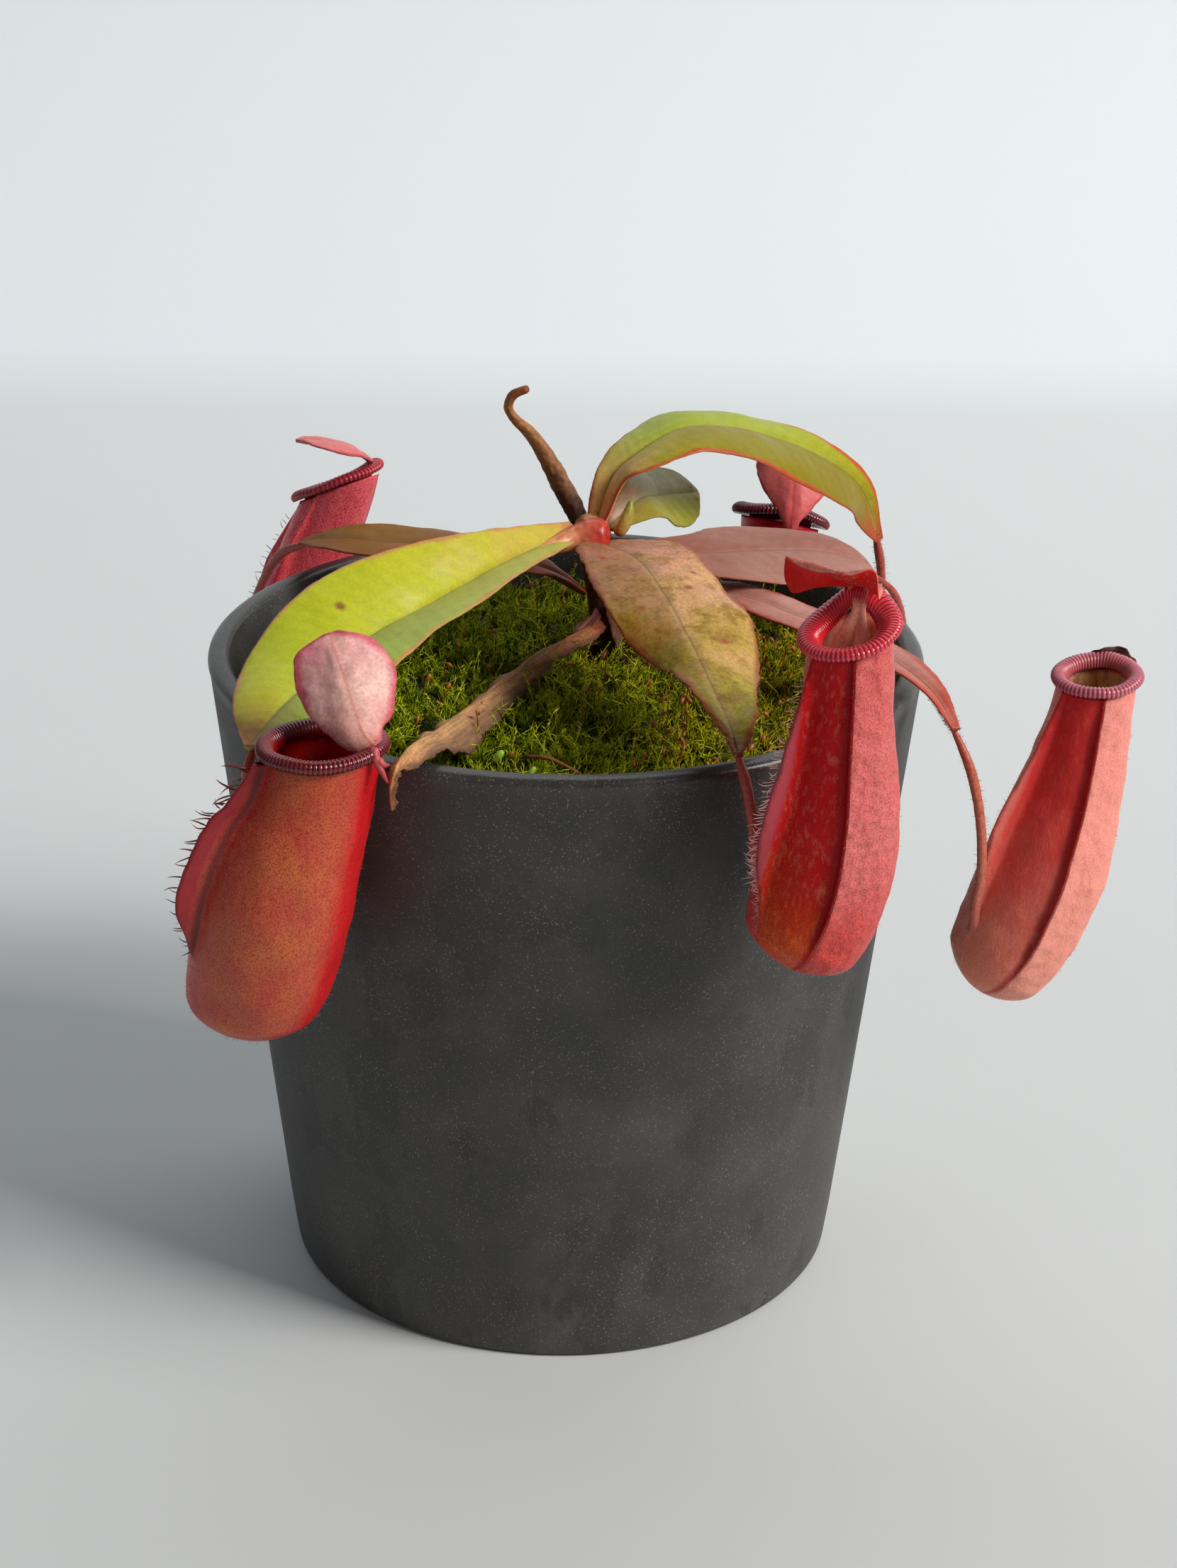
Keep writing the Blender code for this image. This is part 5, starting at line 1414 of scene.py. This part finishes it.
    # Painted shade: a dark wine red in the crease at the root of each wing.
    crease = looks.get("crease", 0.0)
    start = add(tree, "MapRange", {0: marks["crest"], 1: 0.1, 2: 0.5, 3: 0.0, 4: crease}).outputs[0]
    stop = add(tree, "MapRange", {0: marks["crest"], 1: 1.0, 2: 2.2, 3: 1.0, 4: 0.0}).outputs[0]
    amount = add(tree, "Math", {0: start, 1: stop}, operation="MULTIPLY").outputs[0]
    tone = add(tree, "Mix", {0: amount, 6: tone, 7: "#50060C"}, data_type="RGBA").outputs[2]
    inner_tone = add(tree, "ValToRGB", {0: along}, inner).outputs[0]
    amount = add(tree, "MapRange", {0: blotch, 1: 0.5, 2: 0.64, 3: 0.0, 4: 0.5}).outputs[0]
    streak = looks.get("inner_streak", "#7A2A1C")
    inner_tone = add(tree, "Mix", {0: amount, 6: inner_tone, 7: streak}, data_type="RGBA").outputs[2]
    tone = add(tree, "Mix", {0: marks["inside"], 6: tone, 7: inner_tone}, data_type="RGBA").outputs[2]
    tree.links.new(tone, shader.inputs["Base Color"])
    gloss = looks.get("gloss", 0.36)
    gloss = add(tree, "MapRange", {0: patch, 1: 0.3, 2: 0.7, 3: gloss - 0.06, 4: gloss + 0.1}).outputs[0]
    gloss = add(tree, "Mix", {0: marks["inside"], 2: gloss, 3: 0.16}).outputs[0]
    tree.links.new(gloss, shader.inputs["Roughness"])
    cells = {"Vector": place, "Scale": grains(looks.get("dimple", 1.6)), "Smoothness": 0.6}
    cells = add(tree, "TexVoronoi", cells, feature="SMOOTH_F1").outputs["Distance"]
    flanks = add(tree, "Math", {0: 1.0, 1: marks["face"]}, operation="SUBTRACT", use_clamp=True).outputs[0]
    rough = add(tree, "Math", {0: cells, 1: flanks}, operation="MULTIPLY").outputs[0]
    rough = add(tree, "Math", {0: rough, 1: looks.get("dents", 0.4)}, operation="MULTIPLY").outputs[0]
    height = add(tree, "Math", {0: fine, 1: 0.3, 2: rough}, operation="MULTIPLY_ADD").outputs[0]
    height = add(tree, "Math", {0: blotch, 1: 0.5, 2: height}, operation="MULTIPLY_ADD").outputs[0]
    lumps = add(tree, "Bump", {"Height": height, "Strength": 0.6, "Distance": looks.get("bump", 0.3) * MM})
    tree.links.new(lumps.outputs[0], shader.inputs["Normal"])
    shader.inputs["Coat Weight"].default_value = looks.get("wax", 0.06)
    shader.inputs["Coat Roughness"].default_value = 0.25
    shader.inputs["Sheen Weight"].default_value = looks.get("fuzz", 0.0)
    return material


def wing_hairs(shape, side, spans, number):
    """Bristles along a wing's edge: number of them, spans gives (t, length in mm) pairs."""
    wing = math.radians(shape["wing_at"]) * (1 if side == 1 else -1)
    places = []
    for k in range(number):
        t = spans[0][0] + (spans[-1][0] - spans[0][0]) * (k + rng.uniform(0.1, 0.9)) / number
        length = float(np.interp(t, [s[0] for s in spans], [s[1] for s in spans])) * rng.uniform(0.65, 1.1)
        point, tangent, radius = pitcher_radius(shape, t, wing)
        way = unit(radius)
        height = float(smooth(shape["wings"][side], t))
        root = point + radius + way * (height * 1.05 - 0.1) + mouth_shift(shape, t, tangent, radius)
        spin = np.cross(tangent, way)
        aim = way + tangent * rng.uniform(-0.35, 0.5) + spin * rng.uniform(-0.45, 0.45)
        bend = tangent * rng.choice([1.0, 1.0, -0.4]) + spin * rng.uniform(-0.6, 0.6)
        pick = rng.randrange(len(STIFF_HAIRS))
        places.append((pick, hair_place(root, aim, bend, length), rng.random()))
    return places


def make_pitchers():
    tissues = {
        "front_left": pitcher_tissue(
            "pitcher_front_left_skin",
            face=[(0.0, "#D84A38"), (0.5, "#CC3A28"), (1.0, "#C02A28")],
            flank=[(0.0, "#B83A34"), (0.2, "#BC4236"), (0.5, "#C0503C"), (0.75, "#C04A38"), (1.0, "#B42C26")],
            wing="#8E1826", inner=[(0.0, "#5A0406"), (0.6, "#8A060A"), (1.0, "#B81418")],
            streak=("#BC2A2A", 0.45, 0.62, 0.55), speck=("#8E1418", 0.66), deep=("#D0000E", -150.0, 0.42),
            glow=("#CC7634", 118.0, 0.56), pale=("#D88A78", 0.7, 0.0), gloss=0.4, dents=0.1, shine=0.4,
            crease=0.75,
        ),
        "front_right": pitcher_tissue(
            "pitcher_front_right_skin",
            face=[
                (0.0, "#D46048"), (0.14, "#D04C1E"), (0.36, "#CC2C0C"), (0.55, "#D00A0C"), (1.0, "#CC0612"),
            ],
            flank=[(0.0, "#D04A42"), (0.3, "#D25450"), (0.6, "#DC7672"), (1.0, "#D46460")],
            # Near the mouth the inside is salmon pushed almost to white: partly its own colour, partly
            # painted light shining through the thin wall.
            wing="#B04A54", inner=[(0.0, "#8A3020"), (0.6, "#E47C60"), (0.85, "#FFAC94"), (1.0, "#FFB49C")],
            mottle=([(0.3, "#F47C2C"), (0.6, "#E07058")], 0.52, 0.66, 0.38), stretch=0.4, blotch=0.7,
            bump=0.55,
            streak=("#C42A34", 0.5, 0.68, 0.22), band=("#A0000C", 0.95), deep=("#C0182A", 180.0, 0.3),
            speck=("#980808", 0.5), pale=("#E8A090", 0.68, 0.2), gloss=0.4, dents=1.7, dimple=1.9, wax=0.05,
            shine=0.16, inner_streak="#E07A60",
        ),
        "low_right": pitcher_tissue(
            "pitcher_low_right_skin",
            face=[(0.0, "#EE9478"), (0.25, "#E47C66"), (0.5, "#DE584E"), (0.75, "#DA342E"), (1.0, "#D62428")],
            flank=[(0.0, "#EE9C84"), (0.5, "#F49C8C"), (1.0, "#F09488")],
            wing="#DC7468", inner=[(0.0, "#8A5A2E"), (0.6, "#B07A48"), (0.9, "#C89A60"), (1.0, "#C89470")],
            mottle=([(0.3, "#F08A68"), (0.7, "#E46C5C")], 0.52, 0.66, 0.22), stretch=0.45, blotch=0.8,
            streak=("#E07064", 0.52, 0.68, 0.35), band=("#A81414", 0.75), deep=("#C04A44", 180.0, 0.3),
            speck=("#B84440", 0.3), pale=("#E8A898", 0.68, 0.2), gloss=0.48, dents=1.3, dimple=2.4, bump=0.5,
            wax=0.05, shine=0.2,
        ),
        "back_right": pitcher_tissue(
            "pitcher_back_right_skin",
            face=[(0.0, "#D85A4A"), (0.5, "#D82C34"), (1.0, "#D00A1C")],
            flank=[(0.0, "#DC5A4C"), (0.5, "#DC2A34"), (1.0, "#DC1226")],
            wing="#D03A44", inner=[(0.0, "#6A1014"), (1.0, "#982A2A")], deep=("#A8001A", 180.0, 0.3),
        ),
        "back_left": pitcher_tissue(
            "pitcher_back_left_skin",
            face=[(0.0, "#E03A44"), (0.5, "#E83040"), (1.0, "#F05060")],
            flank=[(0.0, "#E44A50"), (0.5, "#EC4450"), (1.0, "#F46870")],
            wing="#D83844", inner=[(0.0, "#6A1014"), (1.0, "#982A2A")],
            deep=("#B40820", 180.0, 0.2), shine=0.15,
        ),
    }
    skins = {}
    for name, shape in PITCHERS.items():
        bm = pitcher_skin(shape, WING_KINDS[name])
        skins[name] = keep(f"pitcher_skin_{name}", bm, tissues[name], [f"pitcher_{name}"], "pitcher")
    dark = hair_tissue("pitcher_hairs_dark", "#4A080C", "#6A1C1A")
    pale = hair_tissue("pitcher_hairs_pale", "#A85A5E", "#D8A8A0")
    stiff = wing_hairs(PITCHERS["front_left"], 1, [(0.36, 1.8), (0.6, 2.6), (0.8, 3.4), (0.99, 5.2)], 30)
    stiff += wing_hairs(PITCHERS["front_left"], 0, [(0.36, 1.4), (0.6, 2.0), (0.99, 4.4)], 20)
    stiff += wing_hairs(PITCHERS["back_right"], 1, [(0.3, 1.0), (0.95, 2.4)], 26)
    stiff += wing_hairs(PITCHERS["back_right"], 0, [(0.3, 1.0), (0.95, 2.4)], 26)
    stiff += wing_hairs(PITCHERS["back_left"], 1, [(0.3, 1.0), (0.95, 2.0)], 24)
    stiff += wing_hairs(PITCHERS["back_left"], 0, [(0.3, 1.0), (0.95, 2.0)], 24)
    scatter("wing_bristles_dark", STIFF_HAIRS, stiff, dark, slot="pitcher")
    soft = wing_hairs(PITCHERS["front_right"], 0, [(0.12, 1.2), (0.4, 2.4), (0.75, 2.6), (0.97, 1.8)], 120)
    soft += wing_hairs(PITCHERS["front_right"], 1, [(0.2, 0.7), (0.97, 0.9)], 60)
    soft += wing_hairs(PITCHERS["low_right"], 0, [(0.12, 0.7), (0.5, 1.1), (0.97, 0.9)], 80)
    soft += wing_hairs(PITCHERS["low_right"], 1, [(0.2, 0.5), (0.97, 0.6)], 50)
    scatter("wing_bristles_pale", LONG_HAIRS, soft, pale, slot="pitcher")
    outside = fuzz_places([skins["front_left"]], each=1500, length=(0.3, 0.7))
    outside += fuzz_places([skins["front_right"], skins["low_right"]], each=900, length=(0.25, 0.6))
    outside += fuzz_places([skins["back_right"], skins["back_left"]], each=500, length=(0.3, 0.6))
    rusty = hair_tissue("pitcher_down_rusty", "#8A2A2E", "#C87A6A")
    scatter("pitcher_down", SHORT_HAIRS, outside, rusty, slot="pitcher")
    route, radii = YOUNG_PITCHER["line"], YOUNG_PITCHER["radius"]
    bm = tube(route, radii, around=30, steps=90, facing=(0, 1, 0.2), relief=0.08)
    colours = [(0.0, "#B8503C"), (0.5, "#B8685A"), (1.0, "#8A9A4A")]
    forming = stalk_tissue("pitcher_forming", colours, roughness=0.4, streak=0.6)
    keep("young_pitcher_skin", bm, forming, ["young_pitcher"], "pitcher")


make_pitchers()

# ----------------------------------------------------------------------------
# Lips: the rolled, ribbed collar that grows round each mouth, hard and glossy. Its ribs run from
# the outside over the roll and down into the mouth.
# ----------------------------------------------------------------------------
# In mm: how far each lip rolls out and in, how high it is, how far it rises at the back into the
# lid's neck, and by what share its inner roll is narrower at the front.
LIPS = {
    "front_left": {"outer": 1.15, "inner": 1.8, "high": 1.75, "neck": 0.3, "front": 0.1},
    "front_right": {"outer": 1.3, "inner": 2.3, "high": 1.5, "neck": 3.4, "front": 0.45},
    "low_right": {"outer": 1.0, "inner": 1.5, "high": 1.5, "neck": 0.4, "front": 0.2},
    "back_right": {"outer": 1.7, "inner": 2.2, "high": 2.1, "neck": 1.2, "front": 0.1},
    "back_left": {"outer": 1.3, "inner": 1.6, "high": 1.7, "neck": 1.0, "front": 0.1},
}
# Closed section of the roll: share of the way out (or in, below 0) and share of the height.
LIP_SECTION = [
    (0.9, 0.02), (1.08, 0.25), (1.05, 0.55), (0.72, 0.85), (0.15, 1.0), (-0.35, 0.93), (-0.75, 0.62),
    (-0.97, 0.15), (-1.0, -0.25), (-0.9, -0.42), (-0.74, -0.2), (-0.6, 0.2), (-0.25, 0.5), (0.2, 0.42),
    (0.6, 0.2),
]
LIP_COLUMNS = 26
RIB_PITCH = 0.72
RIB_HEIGHT = 0.085


def lip_skin(shape, sizes):
    """The rolled ring round a mouth, with a rib every RIB_PITCH mm that fades towards the inside."""
    size = (shape["across"][-1] + shape["along"][-1]) / 2 + sizes["outer"]
    ribs = round(math.tau * size / RIB_PITCH)
    rows = ribs * 4
    section = LIP_SECTION + LIP_SECTION[:1]
    look = unit(np.asarray(shape["mouth"], float))

    def ring(v):
        angle = math.tau * (v % 1.0)
        point, tangent, radius = pitcher_radius(shape, 1.0, angle)
        rim = point + radius + mouth_shift(shape, 1.0, tangent, radius)
        outward = unit(rim - point)
        back = math.atan2(math.sin(angle - math.pi), math.cos(angle - math.pi))
        lift = sizes["neck"] * math.exp(-((back / 0.7) ** 2))
        sag = 0.25 * noise.noise(Vector((math.cos(angle), math.sin(angle), 2.0)) * 1.3)
        wave = math.cos(ribs * angle + 0.5 * noise.noise(Vector((math.cos(angle), math.sin(angle), 7.0)) * 3))
        points, marks = [], {"rib": [], "roll": []}
        for k in range(LIP_COLUMNS + 1):
            share = (k % LIP_COLUMNS) / LIP_COLUMNS
            out, up = smooth(section, share)
            narrow = 1 - sizes["front"] * max(math.cos(angle), 0) ** 2
            reach = sizes["outer"] if out > 0 else sizes["inner"] * narrow
            grown = 1 + RIB_HEIGHT * wave * (1.0 if share < 0.66 else 0.3)
            centre_up = 0.45
            high = (centre_up + (up - centre_up) * grown) * sizes["high"]
            rise = high + 0.2 + (lift + sag) * min(1.0, 1.1 + out * 0.2)
            points.append(rim + outward * out * reach * grown + look * rise)
            marks["rib"].append(wave)
            marks["roll"].append(out)
        return points, marks

    return skin(LIP_COLUMNS, rows, ring)


def lip_tissue(name, groove, crest, inner, gloss=0.2):
    """Lip of a pitcher: hard, waxy and wet-looking, dark between its ribs and lighter on them, partly the
    lip's own stripes and partly painted shade in the grooves and painted highlight on the crests.
    """
    material, tree, shader = new_material(name, Roughness=gloss, IOR=1.5, Coat_Weight=0.15)
    place = add(tree, "TexCoord").outputs["Object"]
    rib = add(tree, "Attribute", attribute_name="rib").outputs["Fac"]
    roll = add(tree, "Attribute", attribute_name="roll").outputs["Fac"]
    patch = add(tree, "TexNoise", {"Vector": place, "Scale": grains(2.5), "Detail": 3.0}).outputs[0]
    # Groove to crest, dark to light: partly painted shade and highlight of the ribs.
    rib = add(tree, "MapRange", {0: rib, 1: -0.9, 2: 0.9, 3: 0.0, 4: 1.0}).outputs[0]
    tone = add(tree, "Mix", {0: rib, 6: groove, 7: crest}, data_type="RGBA").outputs[2]
    deep = add(tree, "MapRange", {0: roll, 1: -0.2, 2: -0.9, 3: 0.0, 4: 0.9}).outputs[0]
    tone = add(tree, "Mix", {0: deep, 6: tone, 7: inner}, data_type="RGBA").outputs[2]
    dark = add(tree, "MapRange", {0: patch, 1: 0.3, 2: 0.7, 3: 0.7, 4: 1.15}).outputs[0]
    dark = add(tree, "CombineColor", {0: dark, 1: dark, 2: dark}).outputs[0]
    tone = add(tree, "Mix", {0: 0.7, 6: tone, 7: dark}, data_type="RGBA", blend_type="MULTIPLY").outputs[2]
    tree.links.new(tone, shader.inputs["Base Color"])
    shader.inputs["Coat Roughness"].default_value = 0.14
    return material


def make_lips():
    # The colours are those of the grooves, the ribs' crests and the inner side.
    tissues = {
        "front_left": lip_tissue("lip_front_left_wine", "#30040A", "#8A1A26", "#7A0810"),
        "front_right": lip_tissue("lip_front_right_red", "#8C1420", "#F44454", "#E02430"),
        "low_right": lip_tissue("lip_low_right_rose", "#8A3040", "#DC7886", "#C86468", gloss=0.3),
        "back_right": lip_tissue("lip_back_right_maroon", "#2E0208", "#7A0814", "#5A0410"),
        "back_left": lip_tissue("lip_back_left_red", "#8A1424", "#C03040", "#A81828", gloss=0.3),
    }
    for name, sizes in LIPS.items():
        bm = lip_skin(PITCHERS[name], sizes)
        keep(f"lip_roll_{name}", bm, tissues[name], [f"lip_{name}"], "lip")


make_lips()

# ----------------------------------------------------------------------------
# Lids: a small leaf that stands over each mouth on a short neck, matt and grainy. The low right
# one has withered to a dry, crumpled strip.
# ----------------------------------------------------------------------------
LIDS = {
    "front_left": {
        "midrib": [
            (-28.3, -64.0, 117.6), (-30.0, -63.0, 119.3), (-31.6, -61.2, 123.0), (-33.0, -59, 126.7),
            (-34.5, -56.8, 130.1), (-35.3, -55.4, 132.3),
        ],
        "left": [1.2, 3.2, 5.2, 6.9, 8.0, 8.2, 7.6, 5.8, 1.2],
        "right": [1.5, 3.3, 5.2, 6.9, 7.8, 7.8, 6.9, 5.0, 1.2],
        "faces": [(0, -0.9, 0.45)],
        "fold": [-25, -20, -14, -12, -10, 0],
        "droop": [0, 10, 20, 20, 20, 0],
    },
    "front_right": {
        "midrib": [
            (43.2, -59.0, 141.2), (42.6, -60.2, 142.4), (41.8, -61.8, 143.8), (41.0, -63.2, 144.8),
            (40.3, -64.3, 145.4), (39.9, -64.9, 145.7),
        ],
        "left": [1.3, 3.4, 5.0, 5.4, 3.8, 0.8],
        "right": [1.3, 5.4, 9.0, 10.5, 8.5, 1.6],
        "faces": [(0.26, 0.5, 0.83)],
        "fold": [-6, -4, 0, 4, 6],
        "droop": [0, 10, 14, 16, 14],
        "ripple": 2.1,
        "waves": 1.5,
    },
    "low_right": {
        "midrib": [
            (83.2, -19.6, 114.0), (85.3, -18.9, 115.0), (87.8, -18.6, 115.8), (90.4, -18.8, 115.2),
            (92.7, -20.0, 114.2),
        ],
        "left": [0.6, 1.6, 2.4, 2.0, 2.6, 1.4, 0.5],
        "right": [0.6, 1.2, 2.2, 1.4, 2.0, 1.2, 0.5],
        "faces": [(0, -0.9, 0.5), (0.3, -0.8, 0.3), (-0.2, -0.9, 0.6)],
        "fold": [30, 45, 50, 40, 30],
        "droop": [0, 0, 0, 0],
        "ripple": 0.8,
        "waves": 3,
    },
    "back_right": {
        "midrib": [
            (41.2, 54.2, 112.5), (41.3, 54.5, 115.2), (41.6, 56.0, 118.6), (41.9, 58.0, 122.2),
            (41.9, 60.2, 125.4), (41.6, 61.6, 127.2),
        ],
        "left": [0.9, 2.0, 4.2, 6.4, 7.6, 6.6, 1.0],
        "right": [0.9, 2.0, 4.2, 6.4, 7.6, 6.6, 1.0],
        "faces": [(0, -0.95, 0.3)],
        "fold": [-20, -15, -10, -10, 0],
        "droop": [0, 10, 20, 20, 0],
    },
    "back_left": {
        "midrib": [
            (-36.2, 56.9, 123.9), (-36.8, 56.8, 125.2), (-40.2, 56.4, 127.2), (-45, 56.1, 128.2),
            (-49.7, 56, 128.5),
        ],
        "left": [0.9, 3, 6, 5.5, 0.5],
        "right": [0.9, 3, 6, 5.5, 0.5],
        "faces": [(0.15, 0.14, 0.95)],
        "fold": [0],
        "droop": [0, 10, 10, 10, 0],
    },
}


# The neck of the front right lid: a strip that grows out of the back wall and passes the lip.
LID_NECK = {
    "midrib": [
        (41.9, -60.6, 127.5), (42.1, -61.9, 131.5), (42.4, -62.8, 135.5), (42.7, -62.9, 138.8),
        (42.9, -62.3, 141.0), (42.8, -60.9, 142.8),
    ],
    "left": [3.6, 3.6, 2.6, 1.2, 1.2, 2.0],
    "right": [3.6, 3.6, 2.6, 1.2, 1.2, 2.0],
    "faces": [(-0.39, -0.92, 0.1)],
    "fold": [15, 12, 5, 0],
    "droop": [0],
}
# Two soft spurs behind the front left lid's neck.
LID_SPURS = [
    [(-28.6, -63.9, 117.4), (-28.1, -64.8, 115.6), (-27.1, -65.6, 113.8), (-26.3, -66.0, 112.4)],
    [(-28.0, -64.6, 115.8), (-27.4, -65.0, 115.2), (-26.8, -65.2, 115.0), (-26.0, -65.2, 115.0)],
]


def make_lids():
    rose = leaf_tissue(
        "lid_front_left_rose",
        left=[(0.0, "#D0404A"), (0.15, "#EC8C84"), (0.55, "#FFC4B8"), (0.8, "#F4A8A8"), (1.0, "#DC7488")],
        right=[(0.0, "#D0404A"), (0.15, "#EE968C"), (0.55, "#FFCCC0"), (0.8, "#F4ACAC"), (1.0, "#DC7488")],
        under="#E0909A", margin=("#D0485E", 1.5), rib=("#FFCCB8", 3.4, 0.4),
        groove="#EC8A70", gloss=0.5, grain=0.24, bump=0.14,
    )
    bm = blade_skin(LIDS["front_left"], 90, 26, thick=0.34, keel=0.4, rough=0.25, ragged=0.25, seed=11.0)
    keep("lid_blade_front_left", bm, rose, ["lid_front_left"], "lid")
    fleshy = stalk_tissue("lid_spur", [(0.0, "#D06060"), (1.0, "#A83030")], roughness=0.45, streak=0.5)
    for number, route in enumerate(LID_SPURS, 1):
        bm = tube(route, [0.9, 0.7, 0.45, 0.15], around=14, steps=40, relief=0.1)
        keep(f"lid_spur_{number}", bm, fleshy, slot="lid")
    stops = [(0.0, "#C84038"), (0.5, "#D46456"), (1.0, "#D47864")]
    scarlet = leaf_tissue(
        "lid_front_right_scarlet", left=stops, right=stops,
        under="#F01408", margin=("#E8907C", 0.5), rib=("#C84A3A", 0.6, 0.3),
        groove="#B02420", gloss=0.5, grain=0.25, bump=0.2,
    )
    bm = blade_skin(LIDS["front_right"], 90, 26, thick=0.4, keel=0.3, rough=0.3, ragged=0.5, seed=12.0)
    keep("lid_blade_front_right", bm, scarlet, ["lid_front_right"], "lid")
    # The neck is salmon pushed almost to white: partly its own colour, partly painted light shining through
    # the thin tissue.
    stops = [(0.0, "#FFB49C"), (0.6, "#FFA890"), (1.0, "#E86450")]
    salmon = stalk_tissue("lid_neck_salmon_lit", stops, roughness=0.35, streak=0.6)
    bm = blade_skin(LID_NECK, 40, 12, thick=0.4, keel=0.0, rough=0.1, ragged=0.1, seed=13.0)
    keep("lid_neck_front_right", bm, salmon, slot="lid")
    stub = parchment("lid_withered", [(0.0, "#4A2418"), (0.5, "#5A2E1E"), (1.0, "#7A4A30")])
    bm = blade_skin(LIDS["low_right"], 50, 12, thick=0.3, keel=0.3, rough=0.4, ragged=0.8, seed=14.0)
    keep("lid_stub_low_right", bm, stub, ["lid_low_right"], "withered_lid")
    stops = [(0.0, "#D8484C"), (0.5, "#E06A68"), (1.0, "#E07270")]
    pink = leaf_tissue(
        "lid_back_pink", left=stops, right=stops,
        under="#D06A68", margin=("#B83A48", 0.6), rib=("#C85050", 0.6, 0.3),
        groove="#A83A3E", gloss=0.42, fuzz=0.15, grain=0.2,
    )
    for name in ("back_right", "back_left"):
        bm = blade_skin(LIDS[name], 80, 20, thick=0.34, keel=0.4, rough=0.2, ragged=0.25, seed=15.0)
        keep(f"lid_blade_{name}", bm, pink, [f"lid_{name}"], "lid")
    down = hair_tissue("lid_down", "#B06A60", "#E0B8A8")
    lids = [bpy.data.objects[name] for name in ("lid_blade_front_left", "lid_blade_front_right")]
    scatter("lid_hairs", SHORT_HAIRS, fuzz_places(lids, each=900, length=(0.2, 0.5)), down, slot="lid")


make_lids()

# ----------------------------------------------------------------------------
# Studio: a sheet of pale paper that sweeps up into a backdrop, a broad soft light from the right,
# a weak one from the left and one on the backdrop. Sizes here are in metres.
# ----------------------------------------------------------------------------
FLOOR_WIDTH = 3.0
FLOOR_FRONT = -2.2
FLOOR_ROWS = 60
SWEEP_FROM = 0.50
SWEEP_RADIUS = 0.30
WALL_TOP = 2.0
LENS = 71.95
SENSOR = 36.0
CAMERA_PLACE = (0, -0.49488, 0.29469)
CAMERA_TURN = -0.00810849
CAMERA_DOWN = 0.401489
CAMERA_ROLL = 0.0125165


def make_floor():
    """Matt paper, light grey where it lies; where it stands it is a little lighter and cooler, as painted
    light on the backdrop.
    """
    material, tree, shader = new_material("backdrop_paper", Roughness=0.85)
    back = add(tree, "SeparateXYZ", {0: add(tree, "TexCoord").outputs["Object"]}).outputs["Y"]
    # Painted light: the standing wall is lighter and cooler than the lying floor.
    wall = add(tree, "MapRange", {0: back, 1: 0.515, 2: 0.565, 3: 0.0, 4: 1.0}).outputs[0]
    tone = add(tree, "Mix", {0: wall, 6: "#D4D7D7", 7: "#E0E5E8"}, data_type="RGBA").outputs[2]
    tree.links.new(tone, shader.inputs["Base Color"])
    bm = bmesh.new()
    bmesh.ops.create_grid(bm, x_segments=8, y_segments=FLOOR_ROWS, size=0.5)
    path = [(FLOOR_FRONT, 0.0), (SWEEP_FROM, 0.0)]
    for a in np.linspace(0.05, math.pi / 2, FLOOR_ROWS - 3):
        path.append((SWEEP_FROM + SWEEP_RADIUS * math.sin(a), SWEEP_RADIUS - SWEEP_RADIUS * math.cos(a)))
    path += [(SWEEP_FROM + SWEEP_RADIUS, WALL_TOP / 2), (SWEEP_FROM + SWEEP_RADIUS, WALL_TOP)]
    for vert in bm.verts:
        y, z = path[round((vert.co.y + 0.5) * FLOOR_ROWS)]
        vert.co = Vector((vert.co.x * FLOOR_WIDTH, y, z))
    bmesh.ops.recalc_face_normals(bm, faces=bm.faces)
    mesh = stored("backdrop", bm)
    mesh.shade_smooth()
    floor = placed("backdrop", mesh)
    mesh.materials.append(material)


def add_light(name, place, aim, size, energy, colour):
    """A soft box at a place, turned towards its aim; energy in watts."""
    lamp = bpy.data.lights.new(name, "AREA")
    lamp.shape = "RECTANGLE"
    lamp.size, lamp.size_y = size
    lamp.energy = energy
    lamp.color = linear(colour)[:3]
    obj = placed(name, lamp)
    obj.location = place
    obj.rotation_euler = (Vector(aim) - Vector(place)).to_track_quat("-Z", "Y").to_euler()


def make_studio():
    make_floor()
    add_light("key", (2.5, -1.15, 2.1), (0.0, 0.0, 0.08), (1.4, 1.4), 122.0, "#FFFCF8")
    add_light("fill", (-0.9, -0.9, 1.0), (0.0, 0.0, 0.08), (0.9, 0.9), 1.3, "#F4F8FF")
    add_light("backdrop_lamp", (0.1, 0.62, 0.95), (0.1, 0.80, 0.05), (1.8, 0.3), 2.6, "#F4FAFF")
    scene = bpy.context.scene
    world = bpy.data.worlds.new("studio")
    world.use_nodes = True
    world.node_tree.nodes["Background"].inputs["Color"].default_value = linear("#E8EEF2")
    world.node_tree.nodes["Background"].inputs["Strength"].default_value = 0.09
    scene.world = world
    camera = placed("camera", bpy.data.cameras.new("camera"))
    camera.data.lens = LENS
    camera.data.sensor_width = SENSOR
    turn = Matrix.Rotation(CAMERA_TURN, 4, "Z") @ Matrix.Rotation(math.pi / 2 - CAMERA_DOWN, 4, "X")
    camera.matrix_world = Matrix.Translation(CAMERA_PLACE) @ turn @ Matrix.Rotation(CAMERA_ROLL, 4, "Z")
    scene.camera = camera
    scene.view_settings.view_transform = "Standard"


make_studio()
